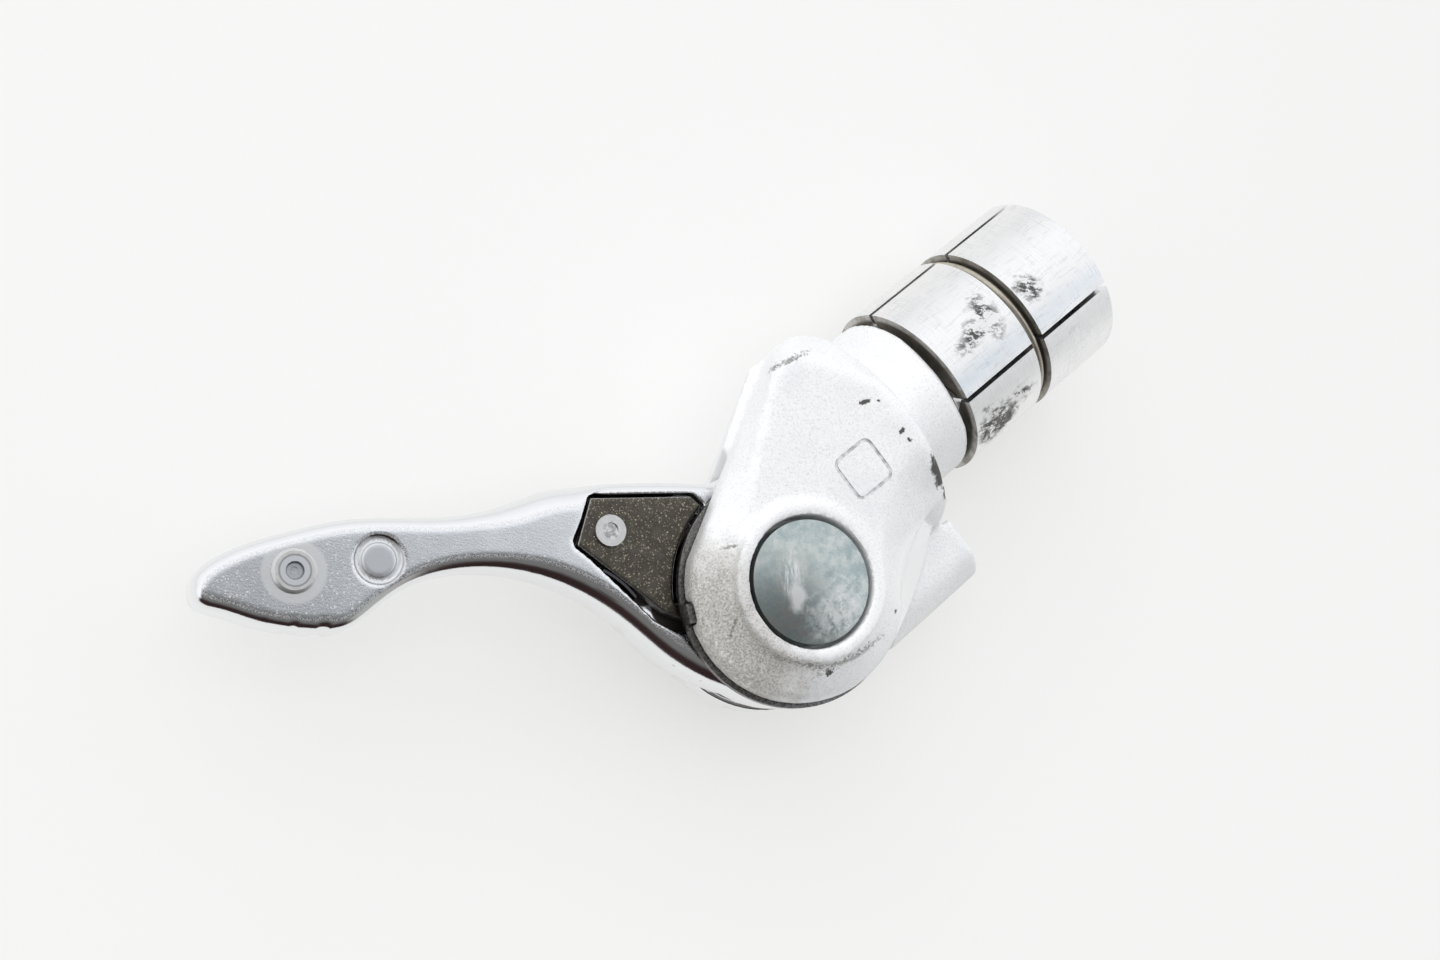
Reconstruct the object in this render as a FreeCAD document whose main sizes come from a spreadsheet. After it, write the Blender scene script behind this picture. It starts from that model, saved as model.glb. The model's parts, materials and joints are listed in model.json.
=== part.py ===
import FreeCAD, Part
import math
import os
import Sketcher
from FreeCAD import Placement, Rotation, Vector

# Bar-end lever shifter with an expanding plug.
# Frame: X runs along the plug, out of the pod; the pod's shoulder face is x = 0 and the plug's
# axis is y = z = 0. Z is parallel to the lever's pivot. All lengths are millimetres.

SIZES = [
    # plug and shoulder
    ("shoulder_rad", 11.9, "shoulder, as large as the end of a 23.8 mm bar"),
    ("collar_rad", 8.8, "turned collar that enters the bar"),
    ("collar_len", 6.6, "collar's length from the shoulder face"),
    ("segment_rad", 9.28, "expander segments, closed"),
    ("segment_start", 7.4, "near end of the segments"),
    ("segment_end", 28.3, "far end of the segments"),
    ("slit", 0.5, "gap between two segments"),
    ("channel_half", 4.6, "half width of the segments' square channel"),
    ("ramp_angle", 30, "ramps and wedge flats to the plug's axis"),
    ("wedge_half", 6.3, "half width of a wedge's large end"),
    ("wedge_small", 4.4, "half width of a wedge's small end"),
    ("wedge_round", 8.2, "radius that cuts the wedges' corners"),
    ("ramp_gap", 0.05, "clearance between ramp and wedge"),
    ("ring_slot_start", 17.0, "near side of the ring groove"),
    ("ring_slot_width", 1.6, "width of the ring groove"),
    ("ring_slot_rad", 7.6, "bottom of the ring groove"),
    ("ring_wire", 0.4, "half the thickness of the ring's wire"),
    ("ring_play", 0.45, "gap under the ring when the plug is closed"),
    ("spigot_rad", 4.2, "near wedge's spigot in the collar"),
    ("spigot_len", 2.0, "length of that spigot"),
    ("phase", 65.5, "angle of the first segment about X, from +Y"),
    # expander bolt
    ("bolt_rad", 3.0, "M6 shank"),
    ("bolt_head_rad", 4.5, "cap head"),
    ("bolt_head_len", 3.6, "cap head"),
    ("bolt_seat", -2.4, "floor of the counterbore under the bolt's washer"),
    ("bolt_washer_thick", 0.6, "washer under the bolt's head"),
    ("bolt_hex", 5.0, "socket across flats"),
    ("bolt_hex_depth", 2.4, "socket depth"),
    # pod
    ("pivot_x", -18.2, "pivot axis"),
    ("pivot_y", -6.3, "pivot axis"),
    ("ear_rad", 10.7, "near ear round the pivot"),
    ("ear_edge", 8.3, "height of the near ear's edge"),
    ("cheek_cut", 0.25, "how far the near cheek's upper side cuts its round end"),
    ("web_cut", 0.1, "how far the web's upper side cuts its round end"),
    ("crown_rad", 7.4, "top of the crown round the pivot"),
    ("crown_top", 10.3, "height of the crown"),
    ("boss_rad", 7.4, "boss round the pin's head"),
    ("boss_top", 11.0, "height of the boss"),
    ("near_ear", 6.0, "underside of the near ear"),
    ("far_ear", -5.0, "inner face of the far ear"),
    ("far_rad", 5.6, "far cheek round the pivot"),
    ("pod_turn", 31.0, "direction from the pivot to the shoulder"),
    ("drum_gap", 0.5, "room round the drum"),
    ("stop_x", 3.0, "web's stop face, from the pivot"),
    ("trim_start", 0.3, "where the cheeks' cone starts, behind the shoulder"),
    ("trim_len", 4.7, "length of that cone along the plug"),
    ("trim_rise", 3.3, "how much wider the cone is at its far end"),
    ("barrel_len", 0.6, "straight part of the barrel behind the shoulder"),
    ("nose_rad", 12.0, "rounded back of the barrel"),
    ("nose_low", 6.5, "radius at which that rounding ends"),
    ("root_top", 4.4, "top of the straight wall under the lug's facet"),
    ("root_low", -4.1, "foot of that wall"),
    ("facet_top", 8.0, "top of the facet, in the near ear's waist"),
    ("root_room", 2.6, "room beside the stop face's line for the lever's root"),
    ("lug_rad", 3.5, "cable lug"),
    ("lug_end", 1.2, "open end of the cable lug"),
    ("lug_start", -11.3, "inner end of the cable lug"),
    ("bar_gap", 0.2, "room between the lug and the bar"),
    # cable
    ("cable_rad", 8.6, "cable's pitch radius on the drum"),
    ("cable_z", -0.5, "height of the cable"),
    ("housing_rad", 2.6, "bore for 5 mm housing"),
    ("housing_len", 7.0, "depth of that bore"),
    ("stop_wall", 1.0, "wall that the housing rests on"),
    ("cable_hole", 1.0, "cable hole"),
    ("liner_rad", 1.9, "cable guide"),
    ("liner_fit", 0.03, "clearance round the cable guide"),
    ("liner_end", -11.9, "inner end of the cable guide"),
    # pivot stack
    ("head_rad", 5.7, "domed head of the pivot pin"),
    ("head_gap", 0.42, "gap round the head"),
    ("head_seat", 7.6, "seat of the head"),
    ("head_edge", 10.7, "height of the head's rim"),
    ("head_dome", 0.9, "rise of the dome"),
    ("pin_rad", 3.5, "pivot pin"),
    ("run_gap", 0.05, "running clearance, radial"),
    ("face_gap", 0.05, "clearance between stacked faces"),
    ("pin_end", -7.4, "far end of the pivot pin"),
    ("screw_rad", 2.0, "M4 screw in the pin"),
    ("screw_depth", 6.0, "thread engaged in the pin"),
    ("screw_head_rad", 3.4, "screw head"),
    ("screw_head_len", 1.8, "screw head"),
    ("screw_deep", 2.7, "depth of the screw's counterbore"),
    ("screw_hex", 3.0, "socket across flats"),
    ("lock_thick", 0.7, "spring washer"),
    ("bush_rad", 4.5, "pivot bush"),
    ("flange_rad", 7.3, "flange of the bush"),
    ("flange_thick", 0.5, "flange of the bush"),
    ("disc_thick", 0.6, "cover disc"),
    ("disc_lap", 0.3, "how far the cover disc passes over the drum"),
    ("tab_width", 1.8, "tab of the cover disc"),
    ("tab_rise", 1.4, "tab of the cover disc"),
    ("friction_thick", 0.35, "friction washers"),
    ("wheel_thick", 1.1, "ratchet wheel"),
    ("thrust_thick", 0.8, "thrust washer"),
    ("thrust_rad", 9.4, "thrust washer"),
    # lever and ratchet
    ("lever_turn", 143.0, "lever's direction at rest"),
    ("drum_rad", 10.8, "cable drum"),
    ("lever_reach", 53.9, "lever's tip from the pivot"),
    ("lever_front", 5.0, "front face of the lever"),
    ("arm_thick", 5.4, "arm's thickness"),
    ("drum_back", -4.0, "back face of the drum"),
    ("arm_round", 1.2, "rounded front edge of the arm"),
    ("recess_rad", 8.1, "recess for the ratchet"),
    ("recess_floor", 2.4, "floor of that recess"),
    ("groove_floor", 8.0, "bottom of the cable groove"),
    ("groove_width", 1.8, "cable groove"),
    ("nipple_rad", 2.25, "cable nipple's seat"),
    ("nipple_stop", 1.2, "seat's floor before the tangent point"),
    ("wheel_tip", 7.5, "ratchet teeth, tip"),
    ("wheel_root", 6.6, "ratchet teeth, root"),
    ("wheel_teeth", 24, "ratchet teeth, number"),
    ("pawl_thick", 1.2, "drive pawl"),
    ("pawl_sink", 0.1, "pawl below the lever's front"),
    ("pawl_arc", 11.25, "pawl's hollow edge, round the pivot"),
    ("pocket_gap", 0.3, "room round the pawl"),
    ("pawl_pin_u", 17.1, "pawl's rivet along the lever"),
    ("pawl_pin_v", -5.4, "pawl's rivet across the lever"),
    ("rivet_rad", 1.0, "rivet shank"),
    ("rivet_head", 1.45, "rivet head"),
    ("spring_thick", 0.25, "pawl spring"),
    ("stud_u", 45.5, "tubular rivet of the paddle"),
    ("stud_v", -1.7, "tubular rivet of the paddle"),
    ("stud_rad", 1.3, "its shank"),
    ("stud_head", 1.95, "its rolled head"),
    ("mark_u", 38.2, "round recess of the paddle"),
    ("mark_v", -2.7, "round recess of the paddle"),
    ("mark_rad", 2.2, "that recess"),
    ("mark_pad", 1.4, "flat pad inside that recess"),
    ("serration_pitch", 2.75, "steps under the paddle"),
    ("serration_depth", 0.45, "steps under the paddle"),
]


class Size:
    """A length with its value and the sheet expression that gives it."""

    def __init__(self, value, text):
        self.value, self.text = float(value), text

    def _join(self, other, sign, value, swap=False):
        text = other.text if isinstance(other, Size) else repr(float(other))
        first, second = (text, self.text) if swap else (self.text, text)
        return Size(value, "(%s %s %s)" % (first, sign, second))

    def __add__(self, other):
        return self._join(other, "+", self.value + float(other))

    def __radd__(self, other):
        return self._join(other, "+", float(other) + self.value, True)

    def __sub__(self, other):
        return self._join(other, "-", self.value - float(other))

    def __rsub__(self, other):
        return self._join(other, "-", float(other) - self.value, True)

    def __mul__(self, other):
        return self._join(other, "*", self.value * float(other))

    def __rmul__(self, other):
        return self._join(other, "*", float(other) * self.value, True)

    def __truediv__(self, other):
        return self._join(other, "/", self.value / float(other))

    def __neg__(self):
        return Size(-self.value, "(-%s)" % self.text)

    def __float__(self):
        return self.value


doc = FreeCAD.newDocument("BarEndShifter")
sheet = doc.addObject("Spreadsheet::Sheet", "Sizes")
for row, (alias, value, note) in enumerate(SIZES, 1):
    sheet.set("A%d" % row, alias)
    sheet.set("B%d" % row, str(value))
    sheet.setAlias("B%d" % row, alias)
    sheet.set("C%d" % row, note)
doc.recompute()


class Sheet:
    """Gives each cell of the sheet as a Size: S.ear_rad and so on."""

    def __getattr__(self, alias):
        return Size(getattr(sheet, alias), "Sizes." + alias)


S = Sheet()
parts = []                                     # every finished sub-part


# ---------------------------------------------------------------- helpers

def body(label, at=(0, 0, 0), turn=0.0, axis=(0, 0, 1)):
    """New PartDesign body, turned about an axis through its place."""
    made = doc.addObject("PartDesign::Body", label)
    made.Label = label
    rotation = Rotation(Vector(*axis), float(turn))
    made.Placement = Placement(Vector(*[float(c) for c in at]), rotation)
    for name, value in zip("xyz", at):
        if isinstance(value, Size):
            made.setExpression("Placement.Base." + name, value.text)
    parts.append(made)
    return made


def sketch(owner, name, role, edges, lift=0.0, shift=(0.0, 0.0)):
    """Sketch of Part edges on one of the body's origin planes, lifted along its normal."""
    made = owner.newObject("Sketcher::SketchObject", name)
    plane = [f for f in owner.Origin.OriginFeatures if f.Role == role][0]
    made.AttachmentSupport = (plane, [""])
    made.MapMode = "FlatFace"
    made.AttachmentOffset = Placement(
        Vector(float(shift[0]), float(shift[1]), float(lift)), Rotation())
    if isinstance(lift, Size):
        made.setExpression("AttachmentOffset.Base.z", lift.text)
    made.addGeometry(edges, False)
    return made


def bind_point(made, geo, pos, x, y):
    """Hold one sketch point at x, y, following the sheet."""
    for kind, value, line in (("DistanceX", x, -2), ("DistanceY", y, -1)):
        if abs(float(value)) < 1e-9:
            made.addConstraint(Sketcher.Constraint("PointOnObject", geo, pos, line))
            continue
        index = made.addConstraint(
            Sketcher.Constraint(kind, -1, 1, geo, pos, float(value)))
        if isinstance(value, Size):
            made.setExpression("Constraints[%d]" % index, value.text)


def polygon(owner, name, role, points, lift=0.0):
    """Closed polygon sketch whose corners follow the sheet."""
    vecs = [Vector(float(x), float(y), 0) for x, y in points]
    made = sketch(owner, name, role,
                  [Part.LineSegment(a, b) for a, b in zip(vecs, vecs[1:] + vecs[:1])], lift)
    for i, (x, y) in enumerate(points):
        made.addConstraint(Sketcher.Constraint("Coincident", i - 1 if i else len(points) - 1, 2, i, 1))
        bind_point(made, i, 1, x, y)
    return made


def circle(owner, name, role, centre, radius, lift=0.0):
    """Circle sketch whose centre and radius follow the sheet."""
    made = sketch(owner, name, role, [Part.Circle(
        Vector(float(centre[0]), float(centre[1]), 0), Vector(0, 0, 1), float(radius))], lift)
    bind_point(made, 0, 3, centre[0], centre[1])
    index = made.addConstraint(Sketcher.Constraint("Radius", 0, float(radius)))
    if isinstance(radius, Size):
        made.setExpression("Constraints[%d]" % index, radius.text)
    return made


def feature(owner, kind, name, profile, length=None, reverse=False, middle=False):
    """Pad or Pocket of a sketch; length follows the sheet."""
    made = owner.newObject("PartDesign::" + kind, name)
    made.Profile = profile
    made.Length = float(length)
    if isinstance(length, Size):
        made.setExpression("Length", length.text)
    made.Reversed = reverse
    made.Midplane = middle
    return made


def turn_feature(owner, kind, name, profile, axis="V_Axis", angle=360.0):
    """Revolution or Groove of a sketch about one of its own axes."""
    made = owner.newObject("PartDesign::" + kind, name)
    made.Profile = profile
    made.ReferenceAxis = (profile, [axis])
    made.Angle = float(angle)
    return made


def loft(owner, name, first, second):
    """Straight loft between two sketches with as many edges."""
    made = owner.newObject("PartDesign::AdditiveLoft", name)
    made.Profile = first
    made.Sections = [second]
    made.Ruled = True
    return made


def turned(label, points):
    """Round piece on the pivot: the polygon of (radius, height) corners turned about it."""
    owner = body(label, (S.pivot_x, S.pivot_y, 0))
    turn_feature(owner, "Revolution", label + "_turned",
                 polygon(owner, label + "_profile", "XZ_Plane", points))
    return owner


def ring_points(inner, outer, low, high):
    return [(inner, low), (outer, low), (outer, high), (inner, high)]


def hexagon(owner, name, role, flats, lift=0.0):
    """Hexagon sketch by its size across flats."""
    reach = float(flats) / math.sqrt(3)
    corners = [Vector(reach * math.cos(math.radians(60 * i)),
                      reach * math.sin(math.radians(60 * i)), 0) for i in range(6)]
    return sketch(owner, name, role,
                  [Part.LineSegment(a, b) for a, b in zip(corners, corners[1:] + corners[:1])], lift)


def polar(radius, degrees):
    angle = math.radians(float(degrees))
    return Vector(float(radius) * math.cos(angle), float(radius) * math.sin(angle), 0)


def arc_edge(radius, start, end, centre=Vector(0, 0, 0)):
    """Arc about a centre from one angle to another, in degrees."""
    middle = 0.5 * (float(start) + float(end))
    return Part.Arc(centre + polar(radius, start), centre + polar(radius, middle),
                    centre + polar(radius, end))


# ---------------------------------------------------------------- pod

pivot = Vector(float(S.pivot_x), float(S.pivot_y), 0)
screw_seat = S.screw_deep - S.shoulder_rad
TOWARD_BAR = float(S.pod_turn)
CHEEK_UP, CROWN_UP = TOWARD_BAR - 3, TOWARD_BAR + 9         # upper sides of cheek and crown
PLAN_END = -1.0                                # plans stop just inside the shoulder face
CHEEK_WAIST = (-50.0, -24.0, 1.08, -0.26)      # first and middle angle, reach, foot from pivot
CROWN_WAIST = (-41.0, 4.0, 1.41, 0.42)


def pod_plan(radius, upper, lower, top, side=None, waist=None):
    """Round end about the pivot, a lower side, the bar's end, a level top and an upper side.

    The upper side may run nearer to the pivot than the round end, which it then cuts. The lower
    side is straight, or a hollow waist given by its first and middle angles and two ratios."""
    radius, top = float(radius), float(top)
    cut = math.degrees(math.acos(float(side) / radius)) if side else 0.0
    high, low = polar(1, upper), polar(1, lower)
    start = pivot + polar(radius, upper + 90 + cut)
    top_far = start + high * ((top - start.y) / high.y)
    if waist:
        first, middle, reach_out, foot_up = waist
        stop, last = pivot + polar(radius, first), first + 360
        foot = Vector(PLAN_END, pivot.y + foot_up * radius, 0)
        lower_side = Part.Arc(stop, pivot + polar(reach_out * radius, middle), foot)
    else:
        stop, last = pivot + polar(radius, lower - 90), lower + 270
        foot = stop + low * ((PLAN_END - stop.x) / low.x)
        lower_side = Part.LineSegment(stop, foot)
    corner = Vector(PLAN_END, top, 0)
    return [arc_edge(radius, upper + 90 + cut, last, pivot), lower_side,
            Part.LineSegment(foot, corner), Part.LineSegment(corner, top_far),
            Part.LineSegment(top_far, start)]


pod = body("body")
web_plan = (S.ear_rad, TOWARD_BAR, TOWARD_BAR, S.shoulder_rad + 0.2, S.ear_rad - S.web_cut)
plan_near = sketch(pod, "plan_near", "XY_Plane", pod_plan(*web_plan), S.near_ear)
plan_far = sketch(pod, "plan_far", "XY_Plane",
                  pod_plan(S.far_rad, TOWARD_BAR, TOWARD_BAR, S.far_rad), -S.shoulder_rad)
loft(pod, "tapered_side", plan_near, plan_far)
cheek_plan = (S.ear_rad, CHEEK_UP, TOWARD_BAR, S.shoulder_rad + 0.2, S.ear_rad - S.cheek_cut,
              CHEEK_WAIST)
plan_cheek = sketch(pod, "plan_cheek", "XY_Plane", pod_plan(*cheek_plan), S.near_ear)
feature(pod, "Pad", "near_cheek", plan_cheek, S.ear_edge - S.near_ear)

# The crown's top leans so that it meets the top of the shoulder.
crown_low = sketch(pod, "crown_low", "XY_Plane", pod_plan(*cheek_plan), S.ear_edge)
crown_high = sketch(pod, "crown_high", "XY_Plane", pod_plan(
    S.crown_rad, CROWN_UP, TOWARD_BAR, S.shoulder_rad - 0.9, waist=CROWN_WAIST))
lean = math.degrees(math.atan2(float(S.shoulder_rad - S.crown_top), -pivot.x))
crown_high.AttachmentOffset = Placement(Vector(0, 0, float(S.shoulder_rad)),
                                        Rotation(Vector(0, 1, 0), -lean))
loft(pod, "crown", crown_low, crown_high)

# Barrel: collar, shoulder and the rounded back that runs into the pod.
shoulder, nose = float(S.shoulder_rad), float(S.nose_rad)
nose_low, straight = float(S.nose_low), -float(S.barrel_len)
nose_back = straight - math.sqrt(nose ** 2 - (nose_low - shoulder + nose) ** 2)
barrel_edges = [
    Part.LineSegment(Vector(nose_back, 0, 0), Vector(nose_back, nose_low, 0)),
    Part.Arc(Vector(nose_back, nose_low, 0),
             Vector(straight - nose * math.sin(math.radians(30)),
                    shoulder - nose * (1 - math.cos(math.radians(30))), 0),
             Vector(straight, shoulder, 0)),
]
corners = [(straight, shoulder), (0, shoulder), (0, float(S.collar_rad)),
           (float(S.collar_len), float(S.collar_rad)), (float(S.collar_len), 0), (nose_back, 0)]
barrel_edges += [Part.LineSegment(Vector(*a, 0), Vector(*b, 0))
                 for a, b in zip(corners, corners[1:])]
barrel = sketch(pod, "barrel_profile", "XY_Plane", barrel_edges)
turn_feature(pod, "Revolution", "barrel", barrel, "H_Axis")

# Cone: near the shoulder the cheeks stay inside a surface of revolution that meets its rim.
cone_points = [(-S.trim_start, S.shoulder_rad),
               (-S.trim_start - S.trim_len, S.shoulder_rad + S.trim_rise),
               (-S.trim_start - S.trim_len, S.shoulder_rad * 2), (1, S.shoulder_rad * 2),
               (1, S.shoulder_rad)]
turn_feature(pod, "Groove", "cone", polygon(pod, "cone_profile", "XY_Plane", cone_points), "H_Axis")

# Boss round the pin's head, and the round root of the cable lug with its sloping facet.
feature(pod, "Pad", "boss", circle(pod, "boss_circle", "XY_Plane", (S.pivot_x, S.pivot_y),
                                   S.boss_rad, S.ear_edge), S.boss_top - S.ear_edge)
def root_plan(out):
    """Bowed outer wall of the lug's root, moved in or out, closed inside the pod."""
    ear = float(S.ear_rad)
    away = polar(out, TOWARD_BAR - 90)
    bow = [pivot + Vector(*p, 0) * ear + away for p in ((0.47, -1.03), (1.11, -0.74), (1.70, -0.32))]
    inside = [pivot + Vector(*p, 0) * ear for p in ((1.70, 0.3), (0.5, 0.3), (0.25, -0.5))]
    points = [bow[2]] + inside + [bow[0]]
    return [Part.Arc(*bow)] + [Part.LineSegment(a, b) for a, b in zip(points, points[1:])]


wall_plan = sketch(pod, "wall_plan", "XY_Plane", root_plan(0), S.root_low)
feature(pod, "Pad", "lug_root", wall_plan, S.root_top - S.root_low)
facet_low = sketch(pod, "facet_low", "XY_Plane", root_plan(0), S.root_top)
facet_high = sketch(pod, "facet_high", "XY_Plane", root_plan(S.root_top - S.facet_top), S.facet_top)
loft(pod, "facet", facet_low, facet_high)

# Cable lug: a round-bottomed block beside the bar.
lug_y = S.pivot_y - S.cable_rad
ly, lz, lr = float(lug_y), float(S.cable_z), float(S.lug_rad)
lug_edges = [Part.Arc(Vector(ly, lz + lr, 0), Vector(ly - lr, lz, 0), Vector(ly, lz - lr, 0)),
             Part.LineSegment(Vector(ly, lz - lr, 0), Vector(ly + 5, lz - lr, 0)),
             Part.LineSegment(Vector(ly + 5, lz - lr, 0), Vector(ly + 5, lz + lr, 0)),
             Part.LineSegment(Vector(ly + 5, lz + lr, 0), Vector(ly, lz + lr, 0))]
feature(pod, "Pad", "lug", sketch(pod, "lug_section", "YZ_Plane", lug_edges, S.lug_start),
        S.lug_end - S.lug_start)
bar_room = polygon(pod, "bar_profile", "XY_Plane", [
    (0, S.collar_rad), (S.lug_end + 1, S.collar_rad),
    (S.lug_end + 1, S.shoulder_rad + S.bar_gap), (0, S.shoulder_rad + S.bar_gap)])
turn_feature(pod, "Groove", "bar_room", bar_room, "H_Axis")

# Slot for the drum, open on the lever's side and ending in the stop face.
room = float(S.drum_rad + S.drum_gap)
stop_x = float(S.stop_x)
rise = math.sqrt(room ** 2 - stop_x ** 2)
stop_angle = math.degrees(math.atan2(rise, stop_x))
low_x = stop_x + float(S.root_room)             # the root block passes here when the lever is down
drop = math.sqrt(room ** 2 - low_x ** 2)
slot_corners = [(low_x, -drop), (low_x, -40), (-40, -40), (-40, 40), (stop_x, 40), (stop_x, rise)]
slot_edges = [arc_edge(room, stop_angle, -math.degrees(math.atan2(drop, low_x)), pivot)]
slot_edges += [Part.LineSegment(pivot + Vector(*a, 0), pivot + Vector(*b, 0))
               for a, b in zip(slot_corners, slot_corners[1:])]
feature(pod, "Pocket", "drum_slot", sketch(pod, "slot_plan", "XY_Plane", slot_edges, S.near_ear),
        S.near_ear - S.far_ear)


def hole(owner, name, role, centre, radius, mouth, depth, reverse=False):
    """Round pocket from its mouth; it runs against the plane's normal unless reversed."""
    profile = circle(owner, name + "_circle", role, centre, radius, mouth)
    return feature(owner, "Pocket", name, profile, depth, reverse)


at_pivot = (S.pivot_x, S.pivot_y)
hole(pod, "head_room", "XY_Plane", at_pivot, S.head_rad + S.head_gap, S.boss_top + 1,
     S.boss_top + 1 - S.head_seat)
hole(pod, "near_bore", "XY_Plane", at_pivot, S.pin_rad + S.run_gap, S.head_seat + 0.5,
     S.head_seat + 0.5 - S.near_ear + 0.5)
hole(pod, "far_bore", "XY_Plane", at_pivot, S.pin_rad + S.run_gap, S.far_ear + 0.5,
     S.far_ear + 0.5 - S.pin_end)
hole(pod, "screw_way", "XY_Plane", at_pivot, S.screw_rad + 0.2, S.pin_end + 0.5,
     S.pin_end + 0.5 - screw_seat + 0.5)
hole(pod, "screw_room", "XY_Plane", at_pivot, S.screw_head_rad + 0.3, -S.shoulder_rad - 1,
     screw_seat + S.shoulder_rad + 1, True)
hole(pod, "bolt_bore", "YZ_Plane", (0, 0), S.bolt_rad + 0.2, S.collar_len + 1,
     S.collar_len + 1 - S.bolt_seat + 0.5)
hole(pod, "bolt_room", "YZ_Plane", (0, 0), S.bolt_head_rad + 0.4, S.bolt_seat, 18.0)
hole(pod, "spigot_room", "YZ_Plane", (0, 0), S.spigot_rad + S.run_gap, S.collar_len + 1,
     S.spigot_len + 1.0)
at_cable = (lug_y, S.cable_z)
hole(pod, "housing_bore", "YZ_Plane", at_cable, S.housing_rad, S.lug_end + 1, S.housing_len + 1)
liner_seat = S.lug_end - S.housing_len - S.stop_wall
hole(pod, "cable_way", "YZ_Plane", at_cable, S.cable_hole, S.lug_end - S.housing_len + 0.5,
     S.stop_wall + 1.0)
hole(pod, "liner_bore", "YZ_Plane", at_cable, S.liner_rad + S.liner_fit, liner_seat, 9.0)

# Notch in the near ear's rim for the cover disc's tab.
TAB_AT = 156.0
tab_in = S.ear_rad - 0.9


def tab_corners(inner, outer, width):
    half = float(width) / 2
    turn = Rotation(Vector(0, 0, 1), TAB_AT)
    return [turn.multVec(Vector(float(a), b, 0))
            for a, b in ((inner, -half), (outer, -half), (outer, half), (inner, half))]


notch = [pivot + c for c in tab_corners(tab_in - 0.1, S.ear_rad + 2, S.tab_width + 0.2)]
feature(pod, "Pocket", "tab_notch", sketch(
    pod, "notch_plan", "XY_Plane",
    [Part.LineSegment(a, b) for a, b in zip(notch, notch[1:] + notch[:1])], S.near_ear - 0.5),
    S.tab_rise + 0.5, True)

# ---------------------------------------------------------------- pivot stack

disc_top = S.near_ear - S.face_gap
disc_low = disc_top - S.disc_thick
disc_rad = S.drum_rad + S.disc_lap
wheel_top = disc_low - S.face_gap - S.friction_thick - S.face_gap
wheel_low = wheel_top - S.wheel_thick
flange_top = wheel_low - S.face_gap - S.friction_thick - S.face_gap
flange_low = flange_top - S.flange_thick
bush_in = S.pin_rad + S.run_gap
on_bush = S.bush_rad + S.run_gap

dome = S.head_edge + S.head_dome
pin = body("pivot_pin", (S.pivot_x, S.pivot_y, 0))
hr, he, hd = float(S.head_rad), float(S.head_edge), float(dome)
dome_rad = (hr ** 2 + (hd - he) ** 2) / (2 * (hd - he))
half_turn = math.degrees(math.asin(hr / dome_rad)) / 2
dome_mid = Vector(dome_rad * math.sin(math.radians(half_turn)),
                  hd - dome_rad * (1 - math.cos(math.radians(half_turn))), 0)
seat = float(S.head_seat + S.face_gap)
pin_corners = [(hr, he), (hr, seat), (float(S.pin_rad), seat), (float(S.pin_rad), float(S.pin_end) + 0.05),
               (0, float(S.pin_end) + 0.05), (0, hd)]
pin_edges = [Part.Arc(Vector(0, hd, 0), dome_mid, Vector(hr, he, 0))]
pin_edges += [Part.LineSegment(Vector(*a, 0), Vector(*b, 0))
              for a, b in zip(pin_corners, pin_corners[1:])]
turn_feature(pin, "Revolution", "pin_turned", sketch(pin, "pin_profile", "XZ_Plane", pin_edges))
hole(pin, "pin_thread", "XY_Plane", (0, 0), S.screw_rad + 0.02, S.pin_end - 1,
     S.screw_depth + 2, True)

turned("pivot_bush", [
    (bush_in, S.far_ear + S.face_gap), (S.bush_rad, S.far_ear + S.face_gap),
    (S.bush_rad, flange_low), (S.flange_rad, flange_low), (S.flange_rad, flange_top),
    (S.bush_rad, flange_top), (S.bush_rad, S.near_ear - S.face_gap),
    (bush_in, S.near_ear - S.face_gap)])

screw_top = screw_seat - S.face_gap - S.lock_thick - S.face_gap
screw = turned("pivot_screw", [
    (0, screw_top - S.screw_head_len), (S.screw_head_rad, screw_top - S.screw_head_len),
    (S.screw_head_rad, screw_top), (S.screw_rad, screw_top),
    (S.screw_rad, S.pin_end + S.screw_depth), (0, S.pin_end + S.screw_depth)])
feature(screw, "Pocket", "screw_socket", hexagon(
    screw, "screw_hex_sketch", "XY_Plane", S.screw_hex, screw_top - S.screw_head_len - 1),
    S.screw_head_len * 0.65 + 1, True)

lock = turned("lock_washer", ring_points(
    S.screw_rad + 0.15, S.screw_head_rad, screw_seat - S.face_gap - S.lock_thick,
    screw_seat - S.face_gap))
feature(lock, "Pocket", "lock_split", polygon(lock, "split_plan", "XY_Plane", [
    (0, -0.3), (S.screw_head_rad + 1, -0.3), (S.screw_head_rad + 1, 0.3), (0, 0.3)]),
    40.0, middle=True)

disc = turned("cover_disc", ring_points(on_bush, disc_rad, disc_low, disc_top))
tab = tab_corners(tab_in, disc_rad - 0.01, S.tab_width)
feature(disc, "Pad", "disc_tab", sketch(
    disc, "tab_plan", "XY_Plane",
    [Part.LineSegment(a, b) for a, b in zip(tab, tab[1:] + tab[:1])], disc_low),
    S.disc_thick + S.tab_rise)


def friction_ring(name, low):
    """Plain washer from primitives that follow the sheet."""
    made = []
    for suffix, radius in (("outer", S.wheel_root - 0.1), ("inner", on_bush + 0.05)):
        cylinder = doc.addObject("Part::Cylinder", "%s_%s" % (name, suffix))
        cylinder.setExpression("Radius", radius.text)
        cylinder.setExpression("Height", S.friction_thick.text)
        for key, value in (("x", S.pivot_x), ("y", S.pivot_y), ("z", low)):
            cylinder.setExpression("Placement.Base." + key, value.text)
        made.append(cylinder)
    cut = doc.addObject("Part::Cut", name)
    cut.Base, cut.Tool = made
    return cut


friction = doc.addObject("Part::Compound", "friction_washers")
friction.Label = "friction_washers"
friction.Links = [friction_ring("friction_near", wheel_top + S.face_gap),
                  friction_ring("friction_far", flange_top + S.face_gap)]
parts.append(friction)

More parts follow.
